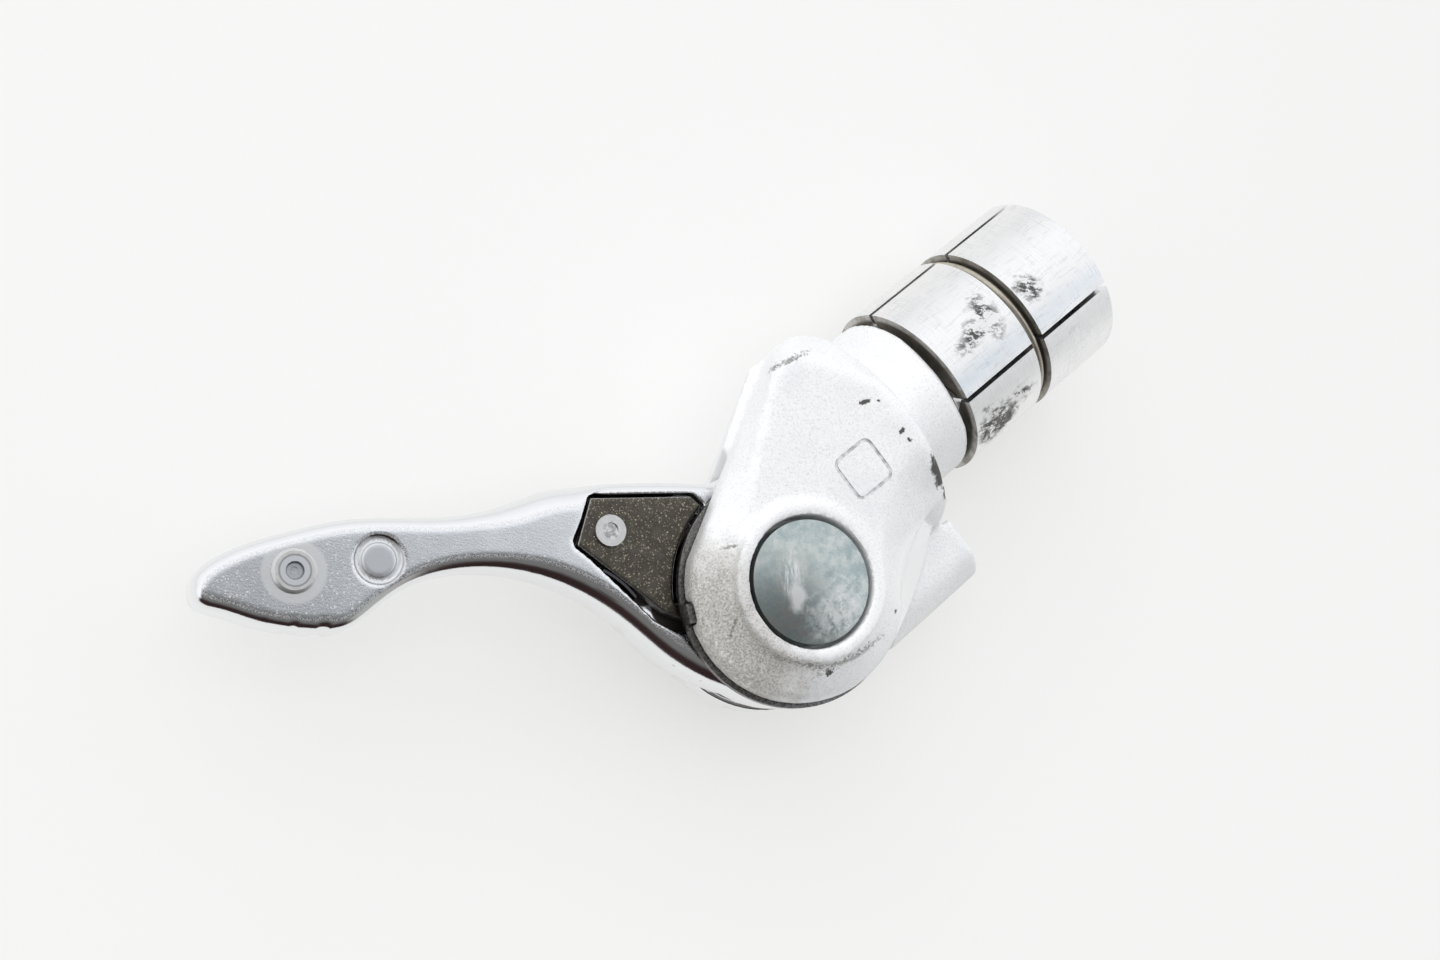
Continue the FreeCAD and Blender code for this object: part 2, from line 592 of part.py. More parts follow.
turned("thrust_washer", ring_points(
    on_bush, S.thrust_rad, S.far_ear + S.face_gap, S.far_ear + S.face_gap + S.thrust_thick))

# Ratchet wheel: saw teeth whose steep flanks face the way the lever pulls the wheel.
wheel = body("ratchet_wheel", (S.pivot_x, S.pivot_y, 0), S.lever_turn)
teeth = int(float(S.wheel_teeth))
NOSE_AT = 20.0                                 # pawl's nose, degrees from the lever's direction
NOSE_HALF = 1.0                                # half of the nose's width, degrees
TIP_ROOM = 3.6                                 # from the nose to the next tooth's tip, degrees
step = 360.0 / teeth
outline = []
for i in range(teeth):
    start = NOSE_AT + NOSE_HALF + TIP_ROOM + i * step
    outline += [polar(S.wheel_tip, start), polar(S.wheel_root, start + step * 0.62),
                polar(S.wheel_root, start + step * 0.96)]
feature(wheel, "Pad", "wheel_blank", sketch(
    wheel, "wheel_outline", "XY_Plane",
    [Part.LineSegment(a, b) for a, b in zip(outline, outline[1:] + outline[:1])], wheel_low),
    S.wheel_thick)
hole(wheel, "wheel_bore", "XY_Plane", (0, 0), on_bush, wheel_top + 1, S.wheel_thick + 2)

# ---------------------------------------------------------------- lever



def lever_point(u, v):
    """Place in the assembly of a point given along and across the lever."""
    cos, sin = math.cos(math.radians(float(S.lever_turn))), math.sin(math.radians(float(S.lever_turn)))
    return S.pivot_x + u * cos - v * sin, S.pivot_y + u * sin + v * cos, 0


lever = body("lever", (S.pivot_x, S.pivot_y, 0), S.lever_turn)
arm_low = S.lever_front - S.arm_thick


# The arm in its own axes: x along the lever, y across it, towards the serrated edge. One smooth
# curve runs from the drum along the plain edge, round the tip and back along the serrated edge.
arm_points = [
    (0, -9.9), (12.0, -10.1), (19.0, -9.75), (23.0, -9.2), (27.5, -7.6), (34.0, -6.6),
    (40.5, -6.4), (46.5, -5.1), (52.0, -3.0), (53.9, -1.0), (53.6, 0.9), (51.7, 1.7),
    (49.0, 2.6), (44.5, 3.4), (41.0, 3.2), (38.2, 1.3), (35.0, -0.75), (30.5, -1.85),
    (25.0, -1.5), (20.0, 0.2), (15.5, 3.1), (11.5, 6.4), (6.5, 9.0), (0, 9.5)]
reach = float(S.lever_reach) / max(x for x, y in arm_points)
arm_points = [Vector(x, y, 0) * reach for x, y in arm_points]
arm_curve = Part.BSplineCurve()
arm_curve.interpolate(arm_points, InitialTangent=Vector(1, 0, 0), FinalTangent=Vector(-1, 0, 0))
arm_edges = [arm_curve, Part.LineSegment(arm_points[-1], arm_points[0])]
feature(lever, "Pad", "arm", sketch(lever, "arm_outline", "XY_Plane", arm_edges, arm_low),
        S.arm_thick)
doc.recompute()


def edges_at(obj, height):
    """Names of the outline's edges at one height in the body's own axes."""
    names = []
    for i, edge in enumerate(obj.Shape.Edges, 1):
        box = edge.BoundBox
        if abs(box.ZMin - height) < 1e-4 and abs(box.ZMax - height) < 1e-4 and box.XMax > 1:
            names.append("Edge%d" % i)
    return names


rounding = lever.newObject("PartDesign::Fillet", "arm_rounding")
arm = doc.getObject("arm")
rounding.Base = (arm, edges_at(arm, float(S.lever_front)) + edges_at(arm, float(arm_low)))
rounding.setExpression("Radius", S.arm_round.text)

# Root: thick round the drum and thinning into the arm on its back.
root_wide = sketch(lever, "root_wide", "XY_Plane", [], arm_low + 1.5)
root_deep = sketch(lever, "root_deep", "XY_Plane", [], S.drum_back)
for owner, points in (
        (root_wide, [(0, -9.8), (23.5, -8.2), (22.5, -4.0), (15.2, 2.95), (11.3, 6.25),
                     (8.8, 7.75), (6.4, 8.8), (0, 9.3)]),
        (root_deep, [(0, -9.8), (19.0, -9.5), (18.5, -4.5), (14.0, 2.7), (10.8, 5.8),
                     (8.4, 7.35), (6.2, 8.4), (0, 9.1)])):
    corners = [Vector(x, y, 0) * reach for x, y in points]
    owner.addGeometry([Part.LineSegment(a, b)
                       for a, b in zip(corners, corners[1:] + corners[:1])], False)
loft(lever, "root", root_deep, root_wide)
feature(lever, "Pad", "drum", circle(lever, "drum_circle", "XY_Plane", (0, 0), S.drum_rad,
                                     S.drum_back), S.lever_front - S.drum_back)

# Stop nose: meets the web's stop face with a small gap at rest.
into_lever = Rotation(Vector(0, 0, 1), -float(S.lever_turn))
stop_face, drum = float(S.stop_x) - 0.3, float(S.drum_rad)
stop_points = [into_lever.multVec(Vector(*p, 0)) for p in (
    (-1.0, drum / 2), (stop_face, drum / 2), (stop_face, drum * 1.09), (-1.0, drum * 1.14))]
feature(lever, "Pad", "stop_nose", sketch(
    lever, "stop_plan", "XY_Plane",
    [Part.LineSegment(a, b) for a, b in zip(stop_points, stop_points[1:] + stop_points[:1])],
    S.drum_back + 1), S.lever_front - S.drum_back - 1.6)

hole(lever, "bush_bore", "XY_Plane", (0, 0), on_bush, S.lever_front + 1,
     S.lever_front - S.drum_back + 2)
hole(lever, "ratchet_recess", "XY_Plane", (0, 0), S.recess_rad, S.lever_front + 1,
     S.lever_front + 1 - S.recess_floor)

# Cable groove round the drum and the nipple's bore, a chord through the root.
CABLE_AT = 22.0                                # tangent point, from the lever's direction
groove = polygon(lever, "groove_profile", "XZ_Plane", [
    (S.groove_floor, S.cable_z - S.groove_width / 2), (S.cable_rad * 2, S.cable_z - S.groove_width / 2),
    (S.cable_rad * 2, S.cable_z + S.groove_width / 2), (S.groove_floor, S.cable_z + S.groove_width / 2)])
groove.AttachmentOffset = Placement(Vector(0, 0, 0), Rotation(Vector(0, 1, 0), CABLE_AT + 21))
turn_feature(lever, "Groove", "cable_groove", groove, "V_Axis", 189.0)


def along(owner, name, radius, origin, direction, length):
    """Round pocket along a level line, from its mouth inwards."""
    made = owner.newObject("Sketcher::SketchObject", name + "_circle")
    plane = [f for f in owner.Origin.OriginFeatures if f.Role == "XY_Plane"][0]
    made.AttachmentSupport = (plane, [""])
    made.MapMode = "FlatFace"
    made.AttachmentOffset = Placement(origin, Rotation(Vector(0, 0, 1), direction))
    made.addGeometry([Part.Circle(Vector(0, 0, 0), Vector(0, 0, 1), float(radius))], False)
    index = made.addConstraint(Sketcher.Constraint("Radius", 0, float(radius)))
    made.setExpression("Constraints[%d]" % index, radius.text)
    return feature(owner, "Pocket", name, made, length)


tangent_point = polar(S.cable_rad, CABLE_AT)
outward = polar(1, CABLE_AT - 90)              # from the seat to the nipple bore's mouth
level = Vector(0, 0, float(S.cable_z))
clear_of_lever = 2.6 * float(S.cable_rad)
along(lever, "nipple_bore", S.nipple_rad, tangent_point + outward * clear_of_lever + level, outward,
      clear_of_lever - float(S.nipple_stop))
along(lever, "cable_bore", S.cable_hole, tangent_point + outward * 3 + level, outward,
      1.4 * float(S.cable_rad))

# Pocket of the drive pawl.
pin_uv = Vector(float(S.pawl_pin_u), float(S.pawl_pin_v), 0)
pawl_top = S.lever_front - S.pawl_sink
pawl_low = pawl_top - S.pawl_thick
nose_rad = S.wheel_root + 0.3
ARC_UP, ARC_DOWN = -44.0, 6.0                  # ends of the pawl's hollow edge


def pawl_outline():
    """Corners of the pawl from the top of its hollow edge round to the nose."""
    return [polar(S.pawl_arc, ARC_UP) + Vector(1.0, -0.9, 0), Vector(18.8, -8.4, 0) * reach,
            Vector(20.2, -4.1, 0) * reach, Vector(14.3, 0.4, 0) * reach,
            Vector(12.2, 2.1, 0) * reach, polar(9.6, NOSE_AT - 0.5), polar(nose_rad, NOSE_AT + NOSE_HALF),
            polar(nose_rad, NOSE_AT - NOSE_HALF), polar(9.2, NOSE_AT - 10),
            polar(S.pawl_arc, ARC_DOWN)]


pawl_corners = pawl_outline()
pawl_edges = [arc_edge(S.pawl_arc, ARC_DOWN, ARC_UP),
              Part.LineSegment(polar(S.pawl_arc, ARC_UP), pawl_corners[0])]
pawl_edges += [Part.LineSegment(a, b) for a, b in zip(pawl_corners, pawl_corners[1:])]



def as_sketch_edges(edges):
    """Sketch geometry of shape edges: lines stay lines, the rest become arcs."""
    made = []
    for edge in edges:
        first, last = edge.ParameterRange
        a, mid, b = [edge.valueAt(t) for t in (first, (first + last) / 2, last)]
        straight = isinstance(edge.Curve, Part.Line)
        made.append(Part.LineSegment(a, b) if straight else Part.Arc(a, mid, b))
    return made


# The pocket leaves room round the pawl at rest and rocked outwards.
PAWL_LIFT = -5.5
pawl_face = Part.Face(Part.Wire([e.toShape() for e in pawl_edges]))
rocked = pawl_face.copy()
rocked.rotate(pin_uv, Vector(0, 0, 1), PAWL_LIFT - 0.5)
room_round_pawl = pawl_face.makeOffset2D(float(S.pocket_gap)).fuse(
    rocked.makeOffset2D(float(S.pocket_gap))).removeSplitter()
pocket_plan = sketch(lever, "pawl_pocket_plan", "XY_Plane",
                     as_sketch_edges(room_round_pawl.Faces[0].OuterWire.Edges), S.lever_front + 1)
feature(lever, "Pocket", "pawl_pocket", pocket_plan, S.lever_front + 1 - pawl_low + S.face_gap)

at_pin, at_stud = (S.pawl_pin_u, S.pawl_pin_v), (S.stud_u, S.stud_v)
hole(lever, "rivet_hole", "XY_Plane", at_pin, S.rivet_rad + 0.02, pawl_low, 3.4)
hole(lever, "stud_hole", "XY_Plane", at_stud, S.stud_rad + 0.02, S.lever_front + 1, S.arm_thick + 2)
MARK_DEEP = 0.35
at_mark = (S.mark_u, S.mark_v)
hole(lever, "mark_recess", "XY_Plane", at_mark, S.mark_rad, S.lever_front + 1, 1 + MARK_DEEP)
feature(lever, "Pad", "mark_pad", circle(lever, "mark_pad_circle", "XY_Plane", at_mark, S.mark_pad,
                                         S.lever_front - MARK_DEEP - 0.2), MARK_DEEP + 0.1)

# Steps under the paddle: each one rises slowly toward the tip and falls back sharply.
steps = []
for i in range(6):
    u = 39.9 + i * float(S.serration_pitch) * (1 - 0.012 * i)
    v = 3.5 - 0.022 * (u - 43.5) ** 2
    deep, long = float(S.serration_depth), float(S.serration_pitch) * 0.42
    corners = [Vector(u, v + 1.0, 0), Vector(u, v - deep, 0), Vector(u + long, v + 0.02, 0),
               Vector(u + long, v + 1.0, 0)]
    steps += [Part.LineSegment(a, b) for a, b in zip(corners, corners[1:] + corners[:1])]
feature(lever, "Pocket", "steps", sketch(lever, "steps_plan", "XY_Plane", steps,
                                         S.lever_front + 1), S.arm_thick + 2)

pawl = body("drive_pawl", (S.pivot_x, S.pivot_y, 0), S.lever_turn)
feature(pawl, "Pad", "pawl_plate", sketch(pawl, "pawl_outline", "XY_Plane", pawl_edges, pawl_low),
        S.pawl_thick)
hole(pawl, "pawl_hole", "XY_Plane", at_pin, S.rivet_rad + S.run_gap, pawl_top + 1,
     S.pawl_thick + 2)

rivet = body("pawl_rivet", (S.pivot_x, S.pivot_y, 0), S.lever_turn)
feature(rivet, "Pad", "rivet_shank", circle(rivet, "rivet_circle", "XY_Plane", at_pin, S.rivet_rad,
                                            pawl_low - 3.3), 3.3 + S.pawl_thick + 0.2)
feature(rivet, "Pad", "rivet_top", circle(rivet, "rivet_top_circle", "XY_Plane", at_pin,
                                          S.rivet_head, pawl_top + S.face_gap), 0.3)
hole(rivet, "rivet_dimple", "XY_Plane", at_pin, S.rivet_head * 0.5, pawl_top + 1, 0.8)

# Leaf spring: a bowed strip between the pawl's lower edge and the pocket's wall.
spring = body("pawl_spring", (S.pivot_x, S.pivot_y, 0), S.lever_turn)
edge_a, edge_b = pawl_corners[2], pawl_corners[3]
edge_run = edge_b - edge_a
edge_out = Vector(-edge_run.y, edge_run.x, 0) * (-1.0 / edge_run.Length)
strip = []
for side in (0, 1):
    lift = 0.06 + side * float(S.spring_thick)
    ends = [edge_a + edge_run * t + edge_out * (lift + bow)
            for t, bow in ((0.44, 0.16), (0.72, 0.0), (0.97, 0.30))]
    strip.append(ends)
inner, outer = strip
strip_edges = [Part.Arc(*inner), Part.LineSegment(inner[2], outer[2]), Part.Arc(*outer[::-1]),
               Part.LineSegment(outer[0], inner[0])]
feature(spring, "Pad", "spring_strip", sketch(spring, "spring_plan", "XY_Plane", strip_edges,
                                              pawl_low), S.pawl_thick - 0.2)

stud = body("paddle_rivet", lever_point(S.stud_u, S.stud_v))
turn_feature(stud, "Revolution", "stud_turned", polygon(stud, "stud_profile", "XZ_Plane", [
    (S.stud_rad - 0.5, arm_low - 0.5), (S.stud_head - 0.25, arm_low - 0.5),
    (S.stud_head, arm_low - S.face_gap), (S.stud_rad, arm_low - S.face_gap),
    (S.stud_rad, S.lever_front + S.face_gap), (S.stud_head, S.lever_front + S.face_gap),
    (S.stud_head - 0.25, S.lever_front + 0.5), (S.stud_rad - 0.5, S.lever_front + 0.5)]))

# ---------------------------------------------------------------- plug


def on_axis(label, points, role="XY_Plane", extra=()):
    """Piece turned about the plug's axis from (x, radius) corners."""
    owner = body(label)
    turn_feature(owner, "Revolution", label + "_turned",
                 polygon(owner, label + "_profile", role, points), "H_Axis")
    return owner


TAN = math.tan(math.radians(float(S.ramp_angle)))
COS = math.cos(math.radians(float(S.ramp_angle)))
slope = (S.wedge_half - S.wedge_small) / TAN     # length of a wedge
seat_x = S.bolt_seat - S.face_gap - S.bolt_washer_thick - S.face_gap
near_x = S.collar_len + S.face_gap

bolt_end = S.segment_end - 0.5
bolt = on_axis("expander_bolt", [
    (seat_x - S.bolt_head_len, 0), (bolt_end, 0), (bolt_end, S.bolt_rad - 0.4),
    (bolt_end - 0.5, S.bolt_rad), (seat_x, S.bolt_rad), (seat_x, S.bolt_head_rad),
    (seat_x - S.bolt_head_len + 0.4, S.bolt_head_rad),
    (seat_x - S.bolt_head_len, S.bolt_head_rad - 0.4)])
feature(bolt, "Pocket", "bolt_socket", hexagon(bolt, "bolt_hex_sketch", "YZ_Plane", S.bolt_hex,
                                               seat_x - S.bolt_head_len - 1), S.bolt_hex_depth + 1, True)
on_axis("bolt_washer", [
    (S.bolt_seat - S.face_gap - S.bolt_washer_thick, S.bolt_rad + 0.15),
    (S.bolt_seat - S.face_gap, S.bolt_rad + 0.15),
    (S.bolt_seat - S.face_gap, S.bolt_head_rad + 0.1),
    (S.bolt_seat - S.face_gap - S.bolt_washer_thick, S.bolt_head_rad + 0.1)])


def wedge(label, large_x, small_x, bore):
    """Square pyramid with its flats facing the segments and its corners turned off."""
    owner = body(label, (0, 0, 0), S.phase, (1, 0, 0))
    ends = []
    for name, x, half in (("large", large_x, S.wedge_half), ("small", small_x, S.wedge_small)):
        ends.append(polygon(owner, "%s_%s" % (label, name), "YZ_Plane", [
            (-half, -half), (half, -half), (half, half), (-half, half)], x))
    loft(owner, label + "_pyramid", ends[0], ends[1])
    low = large_x if float(large_x) < float(small_x) else small_x
    trim = sketch(owner, label + "_trim", "YZ_Plane", [
        Part.Circle(Vector(0, 0, 0), Vector(0, 0, 1), float(S.wedge_round)),
        Part.Circle(Vector(0, 0, 0), Vector(0, 0, 1), float(S.wedge_round) + 4)], low - 1)
    for index, radius in ((0, S.wedge_round), (1, S.wedge_round + 4)):
        trim.addConstraint(Sketcher.Constraint("PointOnObject", index, 3, -1))
        trim.addConstraint(Sketcher.Constraint("PointOnObject", index, 3, -2))
        number = trim.addConstraint(Sketcher.Constraint("Radius", index, float(radius)))
        trim.setExpression("Constraints[%d]" % number, radius.text)
    feature(owner, "Pocket", label + "_corners", trim, slope + 2, True)
    return owner, bore


near, near_bore = wedge("near_wedge", near_x, near_x + slope, S.bolt_rad + 0.2)
feature(near, "Pad", "spigot", circle(near, "spigot_circle", "YZ_Plane", (0, 0), S.spigot_rad,
                                      near_x - S.spigot_len), S.spigot_len + 0.5)
hole(near, "near_wedge_bore", "YZ_Plane", (0, 0), near_bore, near_x + slope + 1,
     slope + S.spigot_len + 2)
far, far_bore = wedge("far_wedge", S.segment_end, S.segment_end - slope, S.bolt_rad + 0.02)
hole(far, "far_wedge_bore", "YZ_Plane", (0, 0), far_bore, S.segment_end + 1, slope + 2)

for k in range(4):
    name = "segment_%d" % (k + 1)
    seg = body(name, (0, 0, 0), S.phase + 90 * k, (1, 0, 0))
    half, radius, cut = float(S.channel_half), float(S.segment_rad), float(S.slit) / 2
    diagonal = math.sqrt(0.5)
    run = math.sqrt(radius ** 2 - cut ** 2)
    corner = Vector(half, half - cut / diagonal, 0)
    tip = Vector((run + cut) * diagonal, (run - cut) * diagonal, 0)
    section = [Part.LineSegment(Vector(corner.x, -corner.y, 0), corner),
               Part.LineSegment(corner, tip),
               Part.Arc(tip, Vector(radius, 0, 0), Vector(tip.x, -tip.y, 0)),
               Part.LineSegment(Vector(tip.x, -tip.y, 0), Vector(corner.x, -corner.y, 0))]
    feature(seg, "Pad", name + "_sleeve", sketch(seg, name + "_section", "YZ_Plane", section,
                                                 S.segment_start), S.segment_end - S.segment_start)
    near_face, far_face = near_x + S.ramp_gap / TAN / COS, S.segment_end - S.ramp_gap / TAN / COS
    for side, face, sign in (("near", near_face, 1), ("far", far_face, -1)):
        small = face + sign * (S.wedge_half - S.channel_half) / TAN
        back = face - sign * 2.0
        ramp = polygon(seg, "%s_%s_ramp" % (name, side), "XY_Plane", [
            (small, S.channel_half), (small, S.channel_half - 2), (back, S.channel_half - 2),
            (back, S.wedge_half + 2 * TAN)])
        feature(seg, "Pocket", "%s_%s_cut" % (name, side), ramp, 30.0, middle=True)
    slot = polygon(seg, name + "_slot", "XY_Plane", [
        (S.ring_slot_start, S.ring_slot_rad),
        (S.ring_slot_start + S.ring_slot_width, S.ring_slot_rad),
        (S.ring_slot_start + S.ring_slot_width, S.segment_rad + 1),
        (S.ring_slot_start, S.segment_rad + 1)])
    turn_feature(seg, "Groove", name + "_groove", slot, "H_Axis")

hoop = body("segment_ring")
hoop_circle = circle(hoop, "hoop_circle", "XY_Plane", (
    S.ring_slot_start + S.ring_slot_width / 2, S.ring_slot_rad + S.ring_play + S.ring_wire),
    S.ring_wire)
turn_feature(hoop, "Revolution", "hoop", hoop_circle, "H_Axis")

guide = body("cable_guide")
guide_profile = polygon(guide, "guide_profile", "XY_Plane", [
    (S.liner_end, S.cable_hole - 0.1), (liner_seat - S.face_gap, S.cable_hole - 0.1),
    (liner_seat - S.face_gap, S.liner_rad), (S.liner_end, S.liner_rad)])
turn_feature(guide, "Revolution", "guide_tube", guide_profile, "H_Axis")
doc.recompute()
guide.Placement = Placement(Vector(0, float(lug_y), float(S.cable_z)), Rotation())
guide.setExpression("Placement.Base.y", lug_y.text)
guide.setExpression("Placement.Base.z", S.cable_z.text)
feature(guide, "Pocket", "guide_end", circle(
    guide, "guide_end_circle", "XY_Plane", (S.pivot_x, S.pivot_y - lug_y), S.drum_rad + S.drum_gap,
    S.liner_rad + 1), 2 * S.liner_rad + 2)

# ---------------------------------------------------------------- checks and export

for owner in parts:
    if hasattr(owner, "Group") and owner.Group:
        owner.Tip = owner.Group[-1]
doc.recompute()
for obj in doc.Objects:
    if "Invalid" in obj.State or "Error" in obj.State:
        raise RuntimeError("%s: %s" % (obj.Name, obj.State))
for owner in parts:
    shape = owner.Shape
    if shape.isNull() or not shape.isValid():
        raise RuntimeError(owner.Label + " has no valid shape")
    print("%-18s %2d solid %9.1f mm3 %s" % (owner.Label, len(shape.Solids), shape.Volume,
                                            shape.isValid()))
os.makedirs("parts", exist_ok=True)
for owner in parts:
    owner.Shape.exportStep("parts/%s.step" % owner.Label)
print("sub-parts:", len(parts))
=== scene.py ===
# %% [markdown]
# # A bar-end shifter for a bicycle, dressed in Blender
# The solids of this shifter come from its CAD model: a cast pod, a lever that swings on the pod's
# pin, a ratchet and pawl, and an expanding plug that holds it all in the end of a handlebar. The
# lesson gives those solids the finish that the real pieces have. It starts by loading them and
# the record that comes with them. Nothing made here may make the object larger.

# %% Load the solids
import json
import math

import bmesh
import bpy
from mathutils import Matrix, Vector
from mathutils.kdtree import KDTree


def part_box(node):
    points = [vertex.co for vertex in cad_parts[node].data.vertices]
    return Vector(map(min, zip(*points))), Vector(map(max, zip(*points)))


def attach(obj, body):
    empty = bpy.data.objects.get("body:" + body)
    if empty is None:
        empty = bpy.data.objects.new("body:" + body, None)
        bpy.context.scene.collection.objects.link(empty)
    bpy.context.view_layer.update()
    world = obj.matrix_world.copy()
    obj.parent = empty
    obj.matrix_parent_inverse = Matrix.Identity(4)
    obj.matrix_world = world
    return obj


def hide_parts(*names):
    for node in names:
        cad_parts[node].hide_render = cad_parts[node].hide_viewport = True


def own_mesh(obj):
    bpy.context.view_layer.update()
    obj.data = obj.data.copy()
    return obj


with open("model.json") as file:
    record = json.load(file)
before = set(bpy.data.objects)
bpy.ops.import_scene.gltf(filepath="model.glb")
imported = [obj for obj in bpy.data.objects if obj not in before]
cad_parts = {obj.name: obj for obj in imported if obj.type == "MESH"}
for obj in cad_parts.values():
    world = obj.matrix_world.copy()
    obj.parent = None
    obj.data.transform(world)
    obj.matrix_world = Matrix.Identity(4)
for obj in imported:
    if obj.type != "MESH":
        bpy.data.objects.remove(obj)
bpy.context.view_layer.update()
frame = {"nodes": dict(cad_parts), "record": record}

MM = 0.001
print("solids:", ", ".join(sorted(frame["nodes"])))

# %% [markdown]
# ## Where the pieces are
# The shoulder that meets the bar's end is at the origin and the plug points along +X. The record
# says where the lever's pin stands and where the part rests, so those places are read from it.
# The lever's own axes are handy for its edges and marks: u runs from the pin to the tip, and v
# runs across, towards the edge with the steps.

# %% Places read from the record
joints = {j["name"]: j for j in frame["record"]["behaviour"]["joints"]}
mounts = {m["name"]: m for m in frame["record"]["mounts"]}
pin = Vector(joints["lever_swing"]["pos_m"]) / MM
pawl_pin = Vector(joints["pawl_rock"]["pos_m"]) / MM
floor_at = mounts["rest_face"]["pos_m"][2]
lever_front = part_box("lever")[1][2] / MM
LEVER_AT = math.radians(143)                   # where the lever points at rest, from +X
along_lever = Vector((math.cos(LEVER_AT), math.sin(LEVER_AT), 0))
across_lever = Vector((-math.sin(LEVER_AT), math.cos(LEVER_AT), 0))


def on_lever(u, v):
    """A place on the lever's face, in mm, from its distances along and across the lever."""
    return Vector((pin.x, pin.y, lever_front)) + along_lever * u + across_lever * v


paddle_stud, paddle_recess = on_lever(45.5, -1.7), on_lever(38.2, -2.7)
print("pin in mm:", [round(v, 2) for v in pin], "lever's face at", round(lever_front, 2))

# %% [markdown]
# ## The camera
# The part lies on its flat far cheek and is looked at steeply from above, so that the pod's crown
# and the lever's face both show. A slightly long lens keeps the round pin head round. A camera
# can be turned by hand, but here its place and the way it looks are written as vectors, and three
# axes at right angles make its matrix, so it stands the same each time.

# %% Camera
EYE_AT = (-90.0, 21.7, 172.3)                  # mm
LOOK_ALONG, UPWARDS = (0.3987, -0.0879, -0.9129), (0.5782, 0.7968, 0.1758)
eye = Vector(EYE_AT) * MM
look = Vector(LOOK_ALONG).normalized()
side = look.cross(Vector(UPWARDS)).normalized()
turned_to = Matrix((side, side.cross(look), -look)).transposed()
camera = bpy.data.objects.new("camera", bpy.data.cameras.new("camera"))
camera.data.sensor_width = 36.0
camera.data.lens = 49.28
camera.data.clip_start = 0.005
camera.matrix_world = Matrix.Translation(eye) @ turned_to.to_4x4()
bpy.context.scene.collection.objects.link(camera)
bpy.context.scene.camera = camera
bpy.context.scene.view_settings.view_transform = "Standard"
print("camera at", [round(v / MM) for v in eye], "mm")

# %% [markdown]
# ## Table and light
# Polished metal shows little of its own colour: it shows the room. So the room matters as much as
# the finishes. Its walls are pale, part of its ceiling is grey, which the lever's flat face
# mirrors, and one side is dim and a little warm, which draws the dark line along every rounded
# edge that faces it. Nodes can be linked by hand in the editor; here a short helper adds one and
# fills its inputs, so that each finish below fits on a page.

# %% A short way to add nodes
def add_node(tree, kind, links=(), **settings):
    """Add a node, set its settings, and fill its inputs with numbers, colours or outputs."""
    node = tree.nodes.new("ShaderNode" + kind)
    for name, value in settings.items():
        setattr(node, name, value)
    for name, value in dict(links).items():
        if isinstance(value, bpy.types.NodeSocket):
            tree.links.new(value, node.inputs[name])
        else:
            node.inputs[name].default_value = value
    return node


# %% [markdown]
# A panorama image could light this scene. A ramp over the height and a few soft patches do the
# same for so small a part, and each can be moved by changing one number. The walls get lighter
# with height. A patch has its direction, the angles in degrees from there at which it is full and
# gone, and its colour.

# %% The room's light
world = bpy.data.worlds.new("room")
bpy.context.scene.world = world
world.use_nodes = True
sky = world.node_tree
direction = add_node(sky, "TexCoord").outputs["Generated"]
height = add_node(sky, "SeparateXYZ", {"Vector": direction}).outputs["Z"]
band = add_node(sky, "ValToRGB", {"Fac": height})
WALLS = ((0.0, 0.84), (0.15, 0.92), (0.6, 1.08), (1.0, 1.05))         # height, level
ramp = band.color_ramp
for at, level in WALLS[1:-1]:
    ramp.elements.new(at)
for element, (at, level) in zip(ramp.elements, WALLS):
    element.position = at
    element.color = (level * 0.99, level, level * 1.02, 1)
room_light = band.outputs["Color"]


def toward(centre, full, none):
    """1 near a direction, fading to 0 between two angles in degrees."""
    near = add_node(sky, "VectorMath", {0: direction, 1: Vector(centre).normalized()},
                    operation="DOT_PRODUCT").outputs["Value"]
    return add_node(sky, "MapRange", {"Value": near, "From Min": math.cos(math.radians(none)),
                                      "From Max": math.cos(math.radians(full))},
                    interpolation_type="SMOOTHSTEP").outputs[0]


PATCHES = (((0.10, -0.90, 0.42), 14, 36, (0.44, 0.44, 0.43)),     # a greyer wall
           ((0.42, -0.42, 0.80), 5, 12, (0.56, 0.72, 0.88)),      # a spot of blue sky
           ((-0.45, -0.72, 0.53), 15, 38, (0.13, 0.115, 0.11)),   # the dim side
           ((-0.30, -0.35, 0.88), 34, 44, (0.17, 0.168, 0.166)),  # the grey ceiling
           ((-0.34, -0.92, 0.18), 9, 32, (0.030, 0.018, 0.018)),  # the dark foot of the dim side
           ((-0.66, -0.66, 0.28), 9, 32, (0.030, 0.018, 0.018)),
           ((-0.88, -0.29, 0.34), 8, 28, (0.035, 0.020, 0.020)))
for centre, full, none, colour in PATCHES:
    mixed = add_node(sky, "Mix", {"Factor": toward(centre, full, none), 6: room_light,
                                  7: (*colour, 1)}, data_type="RGBA")
    room_light = mixed.outputs[2]
sky.links.new(room_light, sky.nodes["Background"].inputs["Color"])
print("room levels:", [level for at, level in WALLS], "and", len(PATCHES), "patches")


# %% [markdown]
# A window on the +Y side and a skylight overhead give the faint shadows. They are large, because
# a small lamp would draw hard edges. Together with the walls they light a surface so that its
# colour comes out about as it is written. The table is one flat face at the level on which the
# part rests.

# %% Windows and table
AIM = (-10, 0, 0)                              # the object's middle, in mm
TABLE_REACH = 1.2                              # half the table's side, in m


